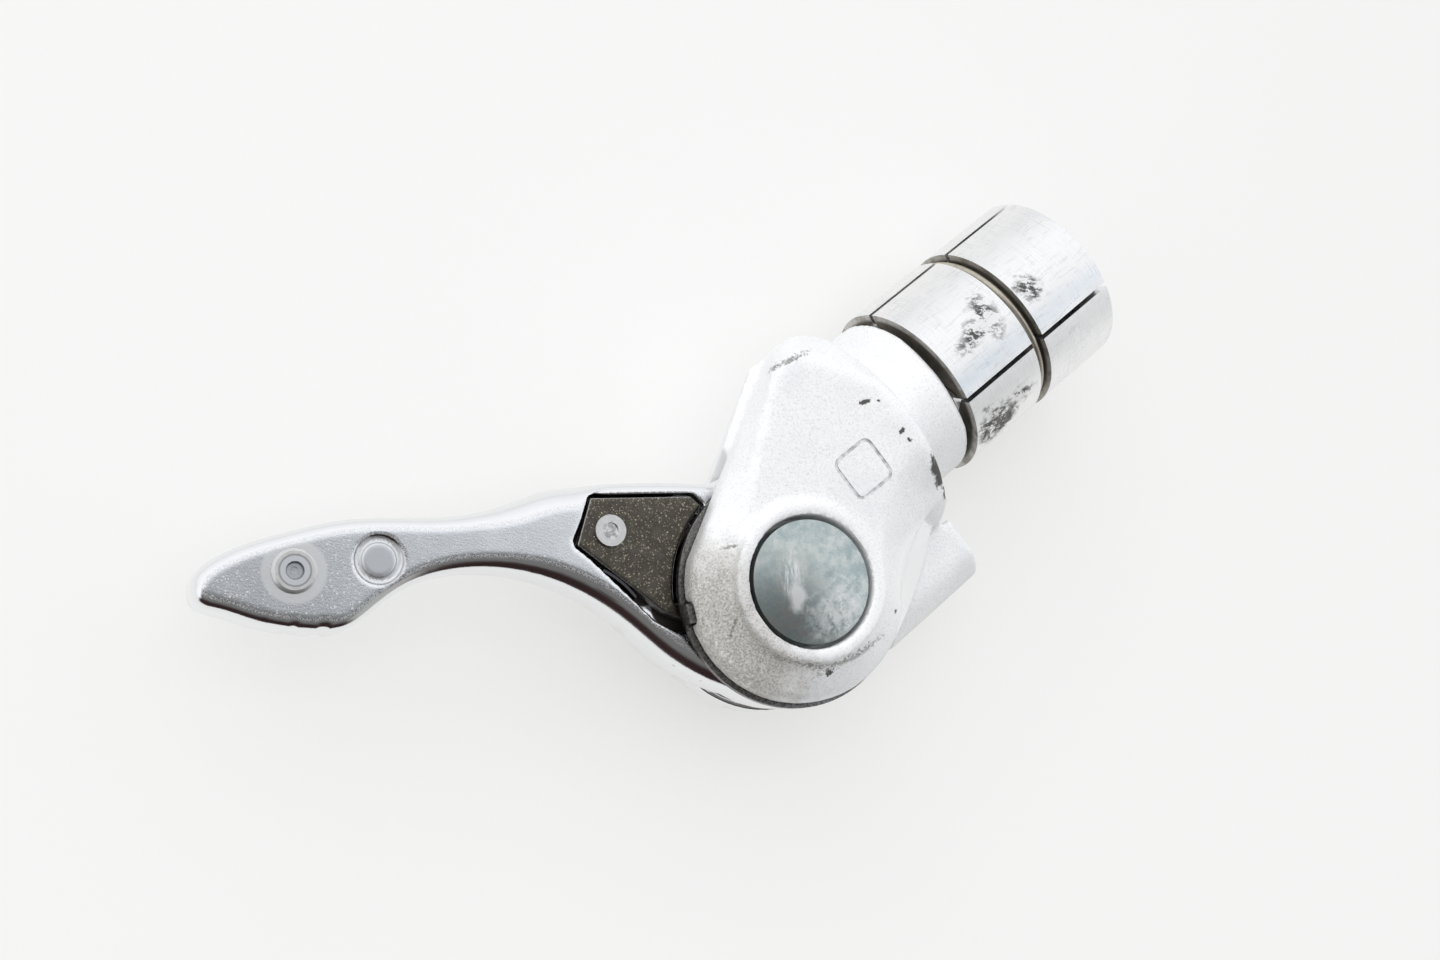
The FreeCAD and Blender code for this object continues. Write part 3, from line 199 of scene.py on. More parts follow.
def soft_panel(name, place, size, power):
    """Add a soft rectangular light at a place in mm, pointed at the object."""
    lamp = bpy.data.lights.new(name, "AREA")
    lamp.shape = "RECTANGLE"
    lamp.size, lamp.size_y = size[0] * MM, size[1] * MM
    lamp.energy = power
    holder = bpy.data.objects.new(name, lamp)
    holder.location = Vector(place) * MM
    shines_along = Vector(AIM) * MM - holder.location
    holder.rotation_euler = shines_along.to_track_quat("-Z", "Y").to_euler()
    holder.visible_glossy = False            # the metals mirror the room alone
    bpy.context.scene.collection.objects.link(holder)


soft_panel("window", (20, 480, 470), (420, 380), 0.48)
soft_panel("skylight", (-110, 60, 580), (420, 420), 1.45)

table = bpy.data.meshes.new("table")
table_corners = [(x * TABLE_REACH, y * TABLE_REACH, floor_at)
                 for x, y in ((-1, -1), (1, -1), (1, 1), (-1, 1))]
table.from_pydata(table_corners, [], [(0, 1, 2, 3)])
table_top = bpy.data.objects.new("table", table)
bpy.context.scene.collection.objects.link(table_top)
print("table", 2 * TABLE_REACH, "m wide, at", round(floor_at / MM, 1), "mm")


# %% [markdown]
# ## Finishes
# Every finish here is made of the same few things: cloudy noise for uneven colour, fine grain for
# the surface, stretched noise for brushing, and the worn places that use leaves. A small class
# keeps the node names out of the way. It works in millimetres, so that a grain of 0.1 mm is
# written as 0.1. A mask is a value from 0 to 1 over the surface; spots, scratches, rings and the
# way a face looks are all masks, and a tint blends a colour in where a mask says. Noise stays
# near 0.5: two rising levels round that pick its high places, and two falling ones its low places.
# Image textures would need flat maps of every solid, and these noises need none.

# %% A finish, in millimetres
class Finish:
    """One material, with short calls for grain, clouds, worn spots and relief."""

    def __init__(self, name, metallic, roughness, colour):
        self.material = bpy.data.materials.new(name)
        self.material.use_nodes = True
        self.tree = self.material.node_tree
        self.shader = self.tree.nodes["Principled BSDF"]
        self.shader.inputs["Metallic"].default_value = metallic
        self.shader.inputs["Roughness"].default_value = roughness
        self.shader.inputs["Base Color"].default_value = (*colour, 1)
        self.colour, self.relief = (*colour, 1), None
        place = self.add("TexCoord")
        self.facing = place.outputs["Normal"]
        self.place = self.add("VectorMath", {0: place.outputs["Object"], 3: 1 / MM},
                              operation="SCALE").outputs[0]

    def add(self, kind, links=(), **settings):
        """Add one node to this finish."""
        return add_node(self.tree, kind, links, **settings)

    def calc(self, operation, *values):
        """Arithmetic on numbers or outputs."""
        return self.add("Math", dict(enumerate(values)), operation=operation).outputs[0]

    def grain(self, size, detail=2.0, stretch=(1, 1, 1), turn=0.0, rough=0.5):
        """Noise of one size in mm, drawn out along axes that are turned about Z."""
        turned = self.add("Mapping", {"Vector": self.place, "Rotation": (0, 0, math.radians(turn)),
                                      "Scale": stretch}, vector_type="TEXTURE").outputs[0]
        return self.add("TexNoise", {"Vector": turned, "Scale": 1 / size, "Detail": detail,
                                     "Roughness": rough}).outputs["Fac"]

    def levels(self, value, low, high, to_low=0.0, to_high=1.0):
        """Stretch what lies between two levels to two others, and clamp the rest."""
        return self.add("MapRange", {"Value": value, "From Min": low, "From Max": high,
                                     "To Min": to_low, "To Max": to_high}).outputs[0]

    def toward(self, axis, low, high):
        """Mask of the faces that look along an axis."""
        cosine = self.add("VectorMath", {0: self.facing, 1: Vector(axis).normalized()},
                          operation="DOT_PRODUCT").outputs["Value"]
        return self.levels(cosine, low, high)

    def span_of(self, axis, low, high, soft=0.15):
        """Mask of a slice between two places along one axis, in mm."""
        at = self.add("SeparateXYZ", {"Vector": self.place}).outputs[axis]
        return self.within(self.levels(at, low - soft, low + soft),
                           self.levels(at, high + soft, high - soft))

    def spot(self, centre, half, soft=0.3, ragged=0.35, size=0.7, turn=0.0):
        """Mask of a worn place: a ragged blob with half sizes in mm round a point in mm."""
        half = (half, half, half) if isinstance(half, (int, float)) else half
        own = self.add("Mapping", {"Vector": self.place, "Location": centre, "Scale": half,
                                   "Rotation": (0, 0, math.radians(turn))}, vector_type="TEXTURE")
        far = self.add("VectorMath", {0: own.outputs[0]}, operation="LENGTH").outputs["Value"]
        if ragged:
            far = self.calc("ADD", far, self.levels(self.grain(size, 4, rough=0.65), 0.3, 0.7,
                                                   -ragged, ragged))
        return self.levels(far, 1 + soft / 2, 1 - soft / 2)

    def line(self, start, end, width, ragged=0.6, size=0.4):
        """Mask of a scratch or chipped edge from one point to another, in mm."""
        start, end = Vector(start), Vector(end)
        run = end - start
        return self.spot((start + end) / 2, (run.length / 2, width / 2, 1.5), soft=0.5,
                         ragged=ragged, size=size, turn=math.degrees(math.atan2(run.y, run.x)))

    def ring(self, centre, inner, outer, soft=0.12):
        """Mask of a flat ring round a point, between two radii in mm."""
        away = self.add("VectorMath", {0: self.place, 1: centre}, operation="SUBTRACT").outputs[0]
        flat = self.add("VectorMath", {0: away, 1: (1, 1, 0)}, operation="MULTIPLY").outputs[0]
        far = self.add("VectorMath", {0: flat}, operation="LENGTH").outputs["Value"]
        return self.within(self.levels(far, inner - soft, inner + soft),
                           self.levels(far, outer + soft, outer - soft))

    def flecks(self, size, share):
        """Mask of separate round flecks, in a share of the cells of one size in mm."""
        cells = self.add("TexVoronoi", {"Vector": self.place, "Scale": 1 / size})
        chance = self.add("SeparateColor", {"Color": cells.outputs["Color"]}).outputs["Red"]
        return self.within(self.levels(cells.outputs["Distance"], 0.44, 0.18),
                           self.levels(chance, 1 - share, 1 - 0.4 * share))

    def past(self, axis, at, soft=0.1):
        """Mask of what lies past a level along any axis, in mm."""
        far = self.add("VectorMath", {0: self.place, 1: axis},
                       operation="DOT_PRODUCT").outputs["Value"]
        return self.levels(far, at - soft, at + soft)

    def either(self, *masks):
        """Mask of the places in any of several masks."""
        result = masks[0]
        for mask in masks[1:]:
            result = self.calc("MAXIMUM", result, mask)
        return result

    def within(self, *masks):
        """Mask of the places in all of several masks."""
        result = masks[0]
        for mask in masks[1:]:
            result = self.calc("MULTIPLY", result, mask)
        return result

    def tint(self, mask, colour, strength=1.0):
        """Blend another colour in where the mask is."""
        if strength != 1.0:
            mask = self.calc("MULTIPLY", mask, strength)
        mixed = self.add("Mix", {"Factor": mask, 6: self.colour, 7: (*colour, 1)}, data_type="RGBA")
        self.colour = mixed.outputs[2]
        self.tree.links.new(self.colour, self.shader.inputs["Base Color"])

    def follow(self, socket, value, low, high):
        """Let one of the shader's numbers follow a mask; later masks change what is there."""
        socket = self.shader.inputs[socket]
        if socket.is_linked:
            low = socket.links[0].from_socket
        self.tree.links.new(self.levels(value, 0, 1, low, high), socket)

    def raise_by(self, height, depth):
        """Relief: the height times a depth in mm, added to what is there."""
        scaled = self.calc("MULTIPLY", height, depth * MM)
        self.relief = scaled if self.relief is None else self.calc("ADD", self.relief, scaled)

    def done(self):
        """Join the relief to the shader and hand the material over."""
        if self.relief is not None:
            bumped = self.add("Bump", {"Height": self.relief, "Distance": 1.0})
            self.tree.links.new(bumped.outputs[0], self.shader.inputs["Normal"])
        print(self.material.name, "has", len(self.tree.nodes), "nodes")
        return self.material


def wear(piece, material):
    """Give a piece, a CAD solid or one made here, one finish all over."""
    mesh = piece.data
    mesh.materials.clear()
    mesh.materials.append(material)
    mesh.polygons.foreach_set("material_index", [0] * len(mesh.polygons))


# %% [markdown]
# ## The pod's casting
# The pod is die-cast alloy, so it has no sharp outer edge anywhere: metal doesn't fill a corner,
# and the paint rounds it further. The CAD solid has its true faces with their edges still sharp.
# Bevelling a mesh like that is fragile, so the copy is turned into an even skin of small cells and
# relaxed, which melts the faces into each other. The crown is relaxed most: its ridges are broad.
# The rim round the pin, the slot and the bores are relaxed least, because they are machined.

# %% A softened copy of a solid
RELAX_SHARE = 0.5                              # of the way to the neighbours' middle, each pass


def applied(piece):
    """Replace the piece's mesh by what its modifiers make of it."""
    graph = bpy.context.evaluated_depsgraph_get()
    mesh = bpy.data.meshes.new_from_object(piece.evaluated_get(graph), depsgraph=graph)
    piece.modifiers.clear()
    piece.data = mesh
    return mesh


def softened(node_name, piece_name, cell, passes, body, softness=None, shape=None):
    """Copy a solid's mesh, reskin it with even cells, relax it, and let it stand for the solid."""
    piece = bpy.data.objects.new(piece_name, frame["nodes"][node_name].data.copy())
    bpy.context.scene.collection.objects.link(piece)
    remesh = piece.modifiers.new("even_cells", "REMESH")
    remesh.mode, remesh.voxel_size, remesh.use_smooth_shade = "VOXEL", cell * MM, True
    mesh = applied(piece)
    if shape:
        shape(mesh)
    relax = piece.modifiers.new("relax", "SMOOTH")
    relax.factor, relax.iterations = RELAX_SHARE, passes
    if softness:
        soft_places = piece.vertex_groups.new(name="soft_places")
        for vertex in mesh.vertices:
            soft_places.add([vertex.index], softness(vertex.co / MM), "REPLACE")
        relax.vertex_group = soft_places.name
    mesh = applied(piece)
    piece.vertex_groups.clear()
    mesh.polygons.foreach_set("use_smooth", [True] * len(mesh.polygons))
    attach(piece, body)
    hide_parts(node_name)
    print(piece_name, "faces:", len(mesh.polygons))
    return piece


# %% [markdown]
# One softness for the whole pod would melt the bores too. So a weight for each point says how much
# it is relaxed. The crown starts 7 mm up and 8.2 mm from the pin, and the relaxing grows to its
# full share over the next 1.5 mm of height and 0.9 mm of distance.

# %% The pod
CROWN_LEVEL, CROWN_CLEAR = 7.0, 8.2            # mm
CROWN_RISE, CROWN_EDGE = 1.5, 0.9              # mm
RIM_SHARE = 0.14                               # relaxing of the rims and bores


def crown_softness(place):
    """How much a place on the pod is relaxed: 1 on the crown, little on rims and bores."""
    from_pin = math.hypot(place.x - pin.x, place.y - pin.y)
    if place.z > CROWN_LEVEL and from_pin > CROWN_CLEAR:
        inwards = min(1.0, (from_pin - CROWN_CLEAR) / CROWN_EDGE)
        upwards = min(1.0, (place.z - CROWN_LEVEL) / CROWN_RISE)
        return RIM_SHARE + (1 - RIM_SHARE) * inwards * upwards
    return RIM_SHARE


pod_casting = softened("body", "pod_casting", 0.28, 46, "pod", crown_softness)

# %% [markdown]
# ## The lever
# The lever is forged and then polished by hand, so its edges aren't one even radius. The solid
# has the same small round everywhere. Here the front edge rolls over as the polisher left it:
# broad along the root's lower side and at the lip beside the pawl, tighter on the paddle. Each
# point of the front is lowered by how near it is to the outline, which a search tree over the
# side wall's points tells. A bevel can't change its width along an edge of so many small faces.

# %% Roll the lever's edges
# (distance from the pin along the lever, width of the roll), in mm
STEPPED_ROLL = ((0, 1.5), (11, 1.8), (22, 1.7), (28, 1.3), (37, 1.0), (60, 1.0))
PLAIN_ROLL = ((0, 1.2), (17, 1.2), (20, 2.2), (25, 2.2), (29, 1.5), (36, 1.2), (60, 1.2))
ELSEWHERE = 1.2                                # width behind the pin
ROUND_SHARE = 0.75                             # of the roll is round, the rest a straight bevel
WALL_TOP, WALL_FOOT, UPRIGHT = 1.8, 2.5, 0.4   # depths below the face, and most lean, of a wall
HUB, POCKET, FRONT_DEPTH = 9.2, 10.5, 3        # radii, and how deep the front's points reach, in mm
NOT_OUTLINE = ((pin, 10.0), (pawl_pin, 1.6), (paddle_stud, 2.3))      # centre, radius
pocket_middle = on_lever(14.5, -3.5)


def from_axis_of(centre, place):
    """Distance of a place from an upright axis through a centre."""
    return math.hypot(place.x - centre.x, place.y - centre.y)


def roll_width(u, stepped_side):
    """Width of the rolled front edge in mm, along the plain edge and along the stepped one."""
    widths = STEPPED_ROLL if stepped_side else PLAIN_ROLL
    for (a, wa), (b, wb) in zip(widths, widths[1:]):
        if a <= u <= b:
            return wa + (wb - wa) * (u - a) / (b - a)
    return ELSEWHERE


def is_outline(place, normal):
    """Whether a point is on the outer side wall, just below the front face."""
    if not (WALL_TOP < lever_front - place.z < WALL_FOOT and abs(normal.z) < UPRIGHT):
        return False
    inwards = pocket_middle - place
    inwards.z = 0
    if inwards.length < POCKET and inwards.dot(normal) > 0:
        return False
    return all(from_axis_of(centre, place) > radius for centre, radius in NOT_OUTLINE)


def roll_edges(mesh):
    """Lower the front face's border so that it rolls into the side wall."""
    wall = []
    for vertex in mesh.vertices:
        place = vertex.co / MM
        if is_outline(place, vertex.normal):
            wall.append(((place.x, place.y, 0), vertex.normal.dot(across_lever) > 0))
    outline = KDTree(len(wall))
    for i, (place, stepped_side) in enumerate(wall):
        outline.insert(place, i)
    outline.balance()
    lowered = 0
    for vertex in mesh.vertices:
        place = vertex.co / MM
        if place.z < lever_front - FRONT_DEPTH or from_axis_of(pin, place) < HUB:
            continue
        from_pin = Vector((place.x - pin.x, place.y - pin.y, 0))
        i, away = outline.find((place.x, place.y, 0))[1:]
        width = roll_width(from_pin.dot(along_lever), wall[i][1])
        if away < width:
            round_drop = width - math.sqrt(width ** 2 - (width - away) ** 2)
            drop = ROUND_SHARE * round_drop + (1 - ROUND_SHARE) * (width - away)
            if place.z > lever_front - drop:
                vertex.co.z = (lever_front - drop) * MM
                lowered += 1
    print("points lowered along the lever's edge:", lowered, "of", len(mesh.vertices))


# %% [markdown]
# The recess and the rivet's seat in the paddle are turned, so they stay crisp: nothing within
# 2.6 mm of either is relaxed, and the recess's floor is shaded flat.

# %% The lever
CRISP_ROUND = 2.6                              # mm


def lever_softness(place):
    """Relax the whole lever, except round the recess and the rivet's seat."""
    near_marks = min((place - paddle_recess).length, (place - paddle_stud).length)
    return 0.0 if near_marks < CRISP_ROUND else 1.0


lever_forging = softened("lever", "lever_forging", 0.19, 5, "lever",
                         softness=lever_softness, shape=roll_edges)
flat = [p for p in lever_forging.data.polygons
        if (p.center / MM - paddle_recess).length < 2.4 and p.normal.z > 0.97]
for polygon in flat:
    polygon.use_smooth = False
print("flat faces in the recess:", len(flat))

# %% [markdown]
# ## The core of the paddle's rivet
# The paddle's rivet is a tube, and its bore isn't open right through: the closing pin stays in it,
# a little below the rolled rim. A plain cylinder would look cut off, so its profile, with the
# dimple that the punch left, is drawn once and spun round the rivet's axis, as on a lathe.
# Corners that turn by more than 35 degrees stay sharp.

# %% Spin the core
SPIN_STEPS, SPIN_CORNER, SAME_PLACE = 48, math.radians(35), 1e-6


def spun(piece_name, axis_at, profile, body):
    """Turn a profile of (radius, height) points in mm round an upright axis."""
    shape = bmesh.new()
    line = [shape.verts.new(Vector((axis_at.x + r, axis_at.y, z)) * MM) for r, z in profile]
    edges = [shape.edges.new(pair) for pair in zip(line, line[1:])]
    bmesh.ops.spin(shape, geom=line + edges, cent=Vector((axis_at.x, axis_at.y, 0)) * MM,
                   axis=(0, 0, 1), angle=math.tau, steps=SPIN_STEPS, use_merge=True)
    bmesh.ops.remove_doubles(shape, verts=shape.verts, dist=SAME_PLACE)
    bmesh.ops.recalc_face_normals(shape, faces=shape.faces)
    mesh = bpy.data.meshes.new(piece_name)
    shape.to_mesh(mesh)
    shape.free()
    mesh.polygons.foreach_set("use_smooth", [True] * len(mesh.polygons))
    mesh.set_sharp_from_angle(angle=SPIN_CORNER)
    piece = bpy.data.objects.new(piece_name, mesh)
    bpy.context.scene.collection.objects.link(piece)
    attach(piece, body)
    print(piece_name, "faces:", len(mesh.polygons))
    return piece


rivet_low, rivet_top = (corner[2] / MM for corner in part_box("paddle_rivet"))
core_top, core_foot = rivet_top - 0.32, rivet_low + 0.30
core_profile = ((0, core_top - 0.10), (0.30, core_top - 0.08), (0.38, core_top),
                (0.66, core_top), (0.78, core_top - 0.10),
                (0.78, core_foot + 0.10), (0.66, core_foot), (0, core_foot))
rivet_core = spun("rivet_core", paddle_stud, core_profile, "lever")

# %% [markdown]
# ## The pawl's plate
# The pawl is stamped from steel plate and tumbled, so its edges are broken by about a quarter of
# a millimetre. A bevel would do that on a cleaner mesh. A very fine skin, relaxed a little, does
# it on any mesh.

# %% The pawl
pawl_plate = softened("drive_pawl", "pawl_plate", 0.11, 5, "pawl")

# %% [markdown]
# ## The pawl's leaf spring
# A bowed strip lies between the pawl's lower edge and the wall of its pocket. As the pawl rocks
# onto it, the strip goes flat against that wall. The wall follows the pawl's rocked edge at
# 0.3 mm, and the strip starts 0.06 mm from the pawl. Bending it point by point would need a
# curve for each pose. Here the strip is a copy of its solid that moves with the lever and keeps
# its bow in every pose; the side of it that faces away from the pawl is worked out, and nothing
# more is done with it.

# %% The leaf spring
leaf_spring = bpy.data.objects.new("leaf_spring", frame["nodes"]["pawl_spring"].data.copy())
bpy.context.scene.collection.objects.link(leaf_spring)
strip = [vertex.co / MM for vertex in leaf_spring.data.vertices]
reach = max((b - a for a in strip for b in strip), key=lambda run: run.xy.length)
outward = Vector((reach.y, -reach.x, 0)).normalized()
pawl_low, pawl_high = (Vector(corner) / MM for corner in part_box("drive_pawl"))
if outward.dot(strip[0] - (pawl_low + pawl_high) / 2) < 0:
    outward.negate()
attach(leaf_spring, "lever")
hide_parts("pawl_spring")
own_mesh(leaf_spring)

# %% [markdown]
# ## The silver paint
# Paint with aluminium flake in it: bright, grainy, and less shiny than bare metal. Handling has
# scuffed it along the boss, chipped it to a dark patch where the pod meets the bar, and left the
# low side of the ear a greasy brownish grey. Wear from noise alone would fall anywhere. Here each
# such place is a spot or a line at its own position, where a hand or a tool touches the real one,
# broken up by noise so that no edge of it is even. The low side of the ear and the foot of the boss
# are also painted darker as painted shade, and the facet beside the lug is painted lighter as a
# painted highlight.

# %% Silver paint
def silver_paint():
    """The pod's paint, with grease, scuffs and chips, painted shade low on the ear and at the
    boss's foot, and a painted highlight on one facet.
    """
    paint = Finish("silver_paint", 0.30, 0.40, (0.935, 0.938, 0.942))
    flake = paint.grain(0.20, 3, rough=0.75)
    cast = paint.grain(0.5, 3, rough=0.6)
    paint.tint(paint.levels(flake, 0.48, 0.62), (0.97, 0.972, 0.975), 0.8)
    paint.tint(paint.levels(flake, 0.48, 0.36), (0.68, 0.695, 0.71), 0.6)
    paint.tint(paint.levels(paint.grain(5, 3), 0.48, 0.66), (0.80, 0.825, 0.85), 0.35)

    # greasy low side of the ear, painted darker still as painted shade, since it faces the dim side
    grime_and_shade = paint.spot((-27.0, -4.8, 8.0), (5.2, 8.8, 4.5), soft=0.8, ragged=0.25, size=2.0)
    paint.tint(grime_and_shade, (0.41, 0.395, 0.365), 0.9)
    bright_flake, dark_flake = paint.levels(flake, 0.46, 0.62), paint.levels(flake, 0.46, 0.36)
    paint.tint(paint.within(grime_and_shade, bright_flake), (0.86, 0.84, 0.80), 0.6)
    paint.tint(paint.within(grime_and_shade, dark_flake), (0.24, 0.22, 0.20), 0.6)
    speckle = paint.levels(paint.grain(0.45, 4, rough=0.7), 0.50, 0.56)
    pale_chips = paint.line((-28.2, -3.4, 7.4), (-27.9, -10.6, 7.2), 1.3, ragged=0.7, size=0.8)
    paint.tint(paint.within(pale_chips, speckle), (0.84, 0.83, 0.78), 0.8)
    stain = paint.line((-28.6, -5.2, 7.2), (-25.6, -12.4, 7.0), 0.8, ragged=0.7, size=0.8)
    paint.tint(paint.within(stain, paint.levels(paint.grain(0.6, 4), 0.50, 0.56)),
               (0.30, 0.24, 0.17), 0.75)

    # scuffs through the clear coat, and chips down to dark metal; the dark line at the foot of the
    # boss's low side is dirt and painted shade of the boss's step
    scuffs = paint.either(
        paint.line((-25.0, -9.4, 8.9), (-22.0, -13.4, 8.9), 0.6),
        paint.line((-22.6, -13.4, 8.9), (-16.2, -14.5, 8.9), 0.6, ragged=0.8),
        paint.line((-8.9, 11.1, 10.2), (-4.8, 10.3, 10.4), 0.6),
        paint.line((-22.8, 1.1, 8.6), (-21.0, 0.2, 8.6), 0.34, ragged=0.4),
        paint.line((-24.1, -3.4, 8.4), (-25.6, -4.4, 8.4), 0.30, ragged=0.4),
        paint.line((-25.4, -4.3, 8.4), (-27.3, -5.7, 8.3), 0.30, ragged=0.4))
    # dark ring round the boss's low foot: dirt, and painted shade of its step
    boss_foot_dirt_and_shade = paint.within(paint.ring((-17.3, -6.9, 0), 7.5, 7.75, 0.15),
                             paint.spot((-20.3, -13.0, 8.8), (4.8, 3.6, 3.0), soft=0.5))
    worn = paint.within(paint.either(scuffs, boss_foot_dirt_and_shade),
                        paint.levels(paint.grain(0.3, 4), 0.36, 0.48))
    paint.tint(worn, (0.20, 0.19, 0.18), 0.8)
    chips = paint.either(
        paint.spot((-0.4, -5.9, 9.3), (1.1, 2.1, 1.7), ragged=0.3, size=0.8),
        paint.spot((0.2, -8.4, 7.8), (0.8, 1.1, 1.4), ragged=0.35, size=0.5),
        paint.spot((-3.4, 3.4, 11.4), (0.60, 0.24, 1.0), ragged=0.55, size=0.35, turn=-25),
        paint.spot((-2.1, 2.7, 11.5), 0.24, ragged=0.45, size=0.3),
        paint.spot((-2.1, -0.9, 11.4), (0.34, 0.24, 1.0), ragged=0.5, size=0.3),
        paint.spot((-2.0, -2.0, 11.4), (0.22, 0.22, 1.0), ragged=0.5, size=0.3),
        paint.spot((-21.6, -13.9, 9.0), (0.50, 0.34, 0.8), ragged=0.5, size=0.3),
        paint.spot((-12.6, -13.8, 8.6), (0.3, 0.22, 0.8), ragged=0.5, size=0.3))
    paint.tint(chips, (0.06, 0.055, 0.05), 0.95)
    specks = paint.levels(paint.grain(1.1, 6, rough=0.85), 0.70, 0.73)
    paint.tint(specks, (0.22, 0.21, 0.19), 0.7)

    # the facet beside the lug is painted lighter as a painted highlight, and made shinier, so that
    # it mirrors the table
    shiny_facet_highlight = paint.within(paint.toward((0.34, -0.62, 0.71), 0.93, 0.96),
                                paint.spot((-8.5, -11.8, 6.0), (8.5, 6.0, 3.4), soft=0.2, ragged=0))
    paint.tint(shiny_facet_highlight, (0.96, 0.965, 0.97), 0.9)
    paint.follow("Metallic", shiny_facet_highlight, 0.30, 0.90)
    paint.follow("Roughness", paint.levels(flake, 0.4, 0.65), 0.34, 0.50)
    paint.follow("Roughness", shiny_facet_highlight, 0, 0.26)
    paint.follow("Roughness", paint.either(grime_and_shade, chips), 0, 0.62)
    paint.raise_by(flake, 0.030)
    paint.raise_by(cast, 0.035)
    paint.raise_by(chips, -0.06)
    paint.raise_by(worn, -0.03)
    return paint.done()


wear(pod_casting, silver_paint())

# %% [markdown]
# ## The frame on the crown
# A small frame with round corners is pressed into the crown. Relief in the paint could show it,
# but a real groove takes the light right from every side. It is cut after the skin is made,
# because it is narrower than a cell: a closed frame-shaped tool is sunk 0.2 mm into the crown's
# level and taken away. The crown leans a little, so the tool leans with it.

# %% Cut the frame
CORNER_STEPS, CUT_CORNER = 5, math.radians(40)


def rounded_loop(wide, high, corner):
    """Points of a rectangle with round corners, counter-clockwise, in mm."""
    points = []
    for k, (sx, sy) in enumerate(((1, 1), (-1, 1), (-1, -1), (1, -1))):
        for i in range(CORNER_STEPS + 1):
            turn = math.radians(90 * k + 90 * i / CORNER_STEPS)
            points.append((sx * (wide / 2 - corner) + corner * math.cos(turn),
                           sy * (high / 2 - corner) + corner * math.sin(turn)))
    return points


def frame_tool(wide, high, corner, width, low, top):
    """A closed frame-shaped block, from a low to a high level."""
    tool = bmesh.new()
    loops = []
    for loop in (rounded_loop(wide, high, corner),
                 rounded_loop(wide - 2 * width, high - 2 * width, corner - width)):
        for level in (low, top):
            loops.append([tool.verts.new(Vector((x, y, level)) * MM) for x, y in loop])
    out_low, out_top, in_low, in_top = loops
    for a, b in ((out_low, out_top), (out_top, in_top), (in_top, in_low), (in_low, out_low)):
        for i in range(len(a)):
            k = (i + 1) % len(a)
            tool.faces.new((a[i], a[k], b[k], b[i]))
    bmesh.ops.recalc_face_normals(tool, faces=tool.faces)
    mesh = bpy.data.meshes.new("frame_tool")
    tool.to_mesh(mesh)
    tool.free()
    return mesh


def carve(piece, tool, floor_finish):
    """Take a closed tool away from a piece, and give the cut faces a finish of their own."""
    bpy.context.scene.collection.objects.link(tool)
    tool.data.materials.append(floor_finish)
    cut = piece.modifiers.new("cut", "BOOLEAN")
    cut.operation, cut.solver, cut.object = "DIFFERENCE", "EXACT", tool
    cut.material_mode = "TRANSFER"
    mesh = applied(piece)
    bpy.data.objects.remove(tool)
    mesh.polygons.foreach_set("use_smooth", [True] * len(mesh.polygons))
    mesh.set_sharp_from_angle(angle=CUT_CORNER)


# %% [markdown]
# The crown's top is 11.9 mm up at the shoulder and falls towards the pin. The groove's floor is
# painted a little darker than the paint, as painted shade in the groove.

# %% Sink the frame into the crown
CROWN_LEAN, CROWN_TOP = 0.0879, 11.9           # rise per mm along X, and its level at X = 0
MARK_X, MARK_Y = -7.4, -1.4
mark_at = Vector((MARK_X, MARK_Y, CROWN_TOP + CROWN_LEAN * MARK_X))
frame_block = frame_tool(wide=4.5, high=4.6, corner=0.85, width=0.32, low=-0.20, top=0.8)
frame_cutter = bpy.data.objects.new("frame_cutter", frame_block)
frame_cutter.matrix_world = (Matrix.Translation(mark_at * MM)
                             @ Matrix.Rotation(-math.atan(CROWN_LEAN), 4, "Y"))
faces_before = len(pod_casting.data.polygons)
# darker paint for the groove's floor: painted shade, broken by lighter patches
pressed_shade = Finish("pressed_shade", 0.1, 0.55, (0.52, 0.53, 0.54))
lighter_patches = pressed_shade.levels(pressed_shade.grain(0.5, 3), 0.42, 0.58)
pressed_shade.tint(lighter_patches, (0.80, 0.81, 0.82))
carve(pod_casting, frame_cutter, pressed_shade.done())
print("frame cut into the crown; faces", faces_before, "->", len(pod_casting.data.polygons))

# %% [markdown]
# ## Polished alloy
# The lever is bare aluminium. Its flat face has been fine-sanded, which leaves a bluish grey full
# of small bright specks; its rolled edges are buffed and mirror the room. Round the paddle's
# rivet the metal is pale and matt where the riveting tool pressed it, and the round recess next
# to it has a lighter floor. Two materials would meet in a hard line, so one material tells the
# face from the edges by the way the surface looks.

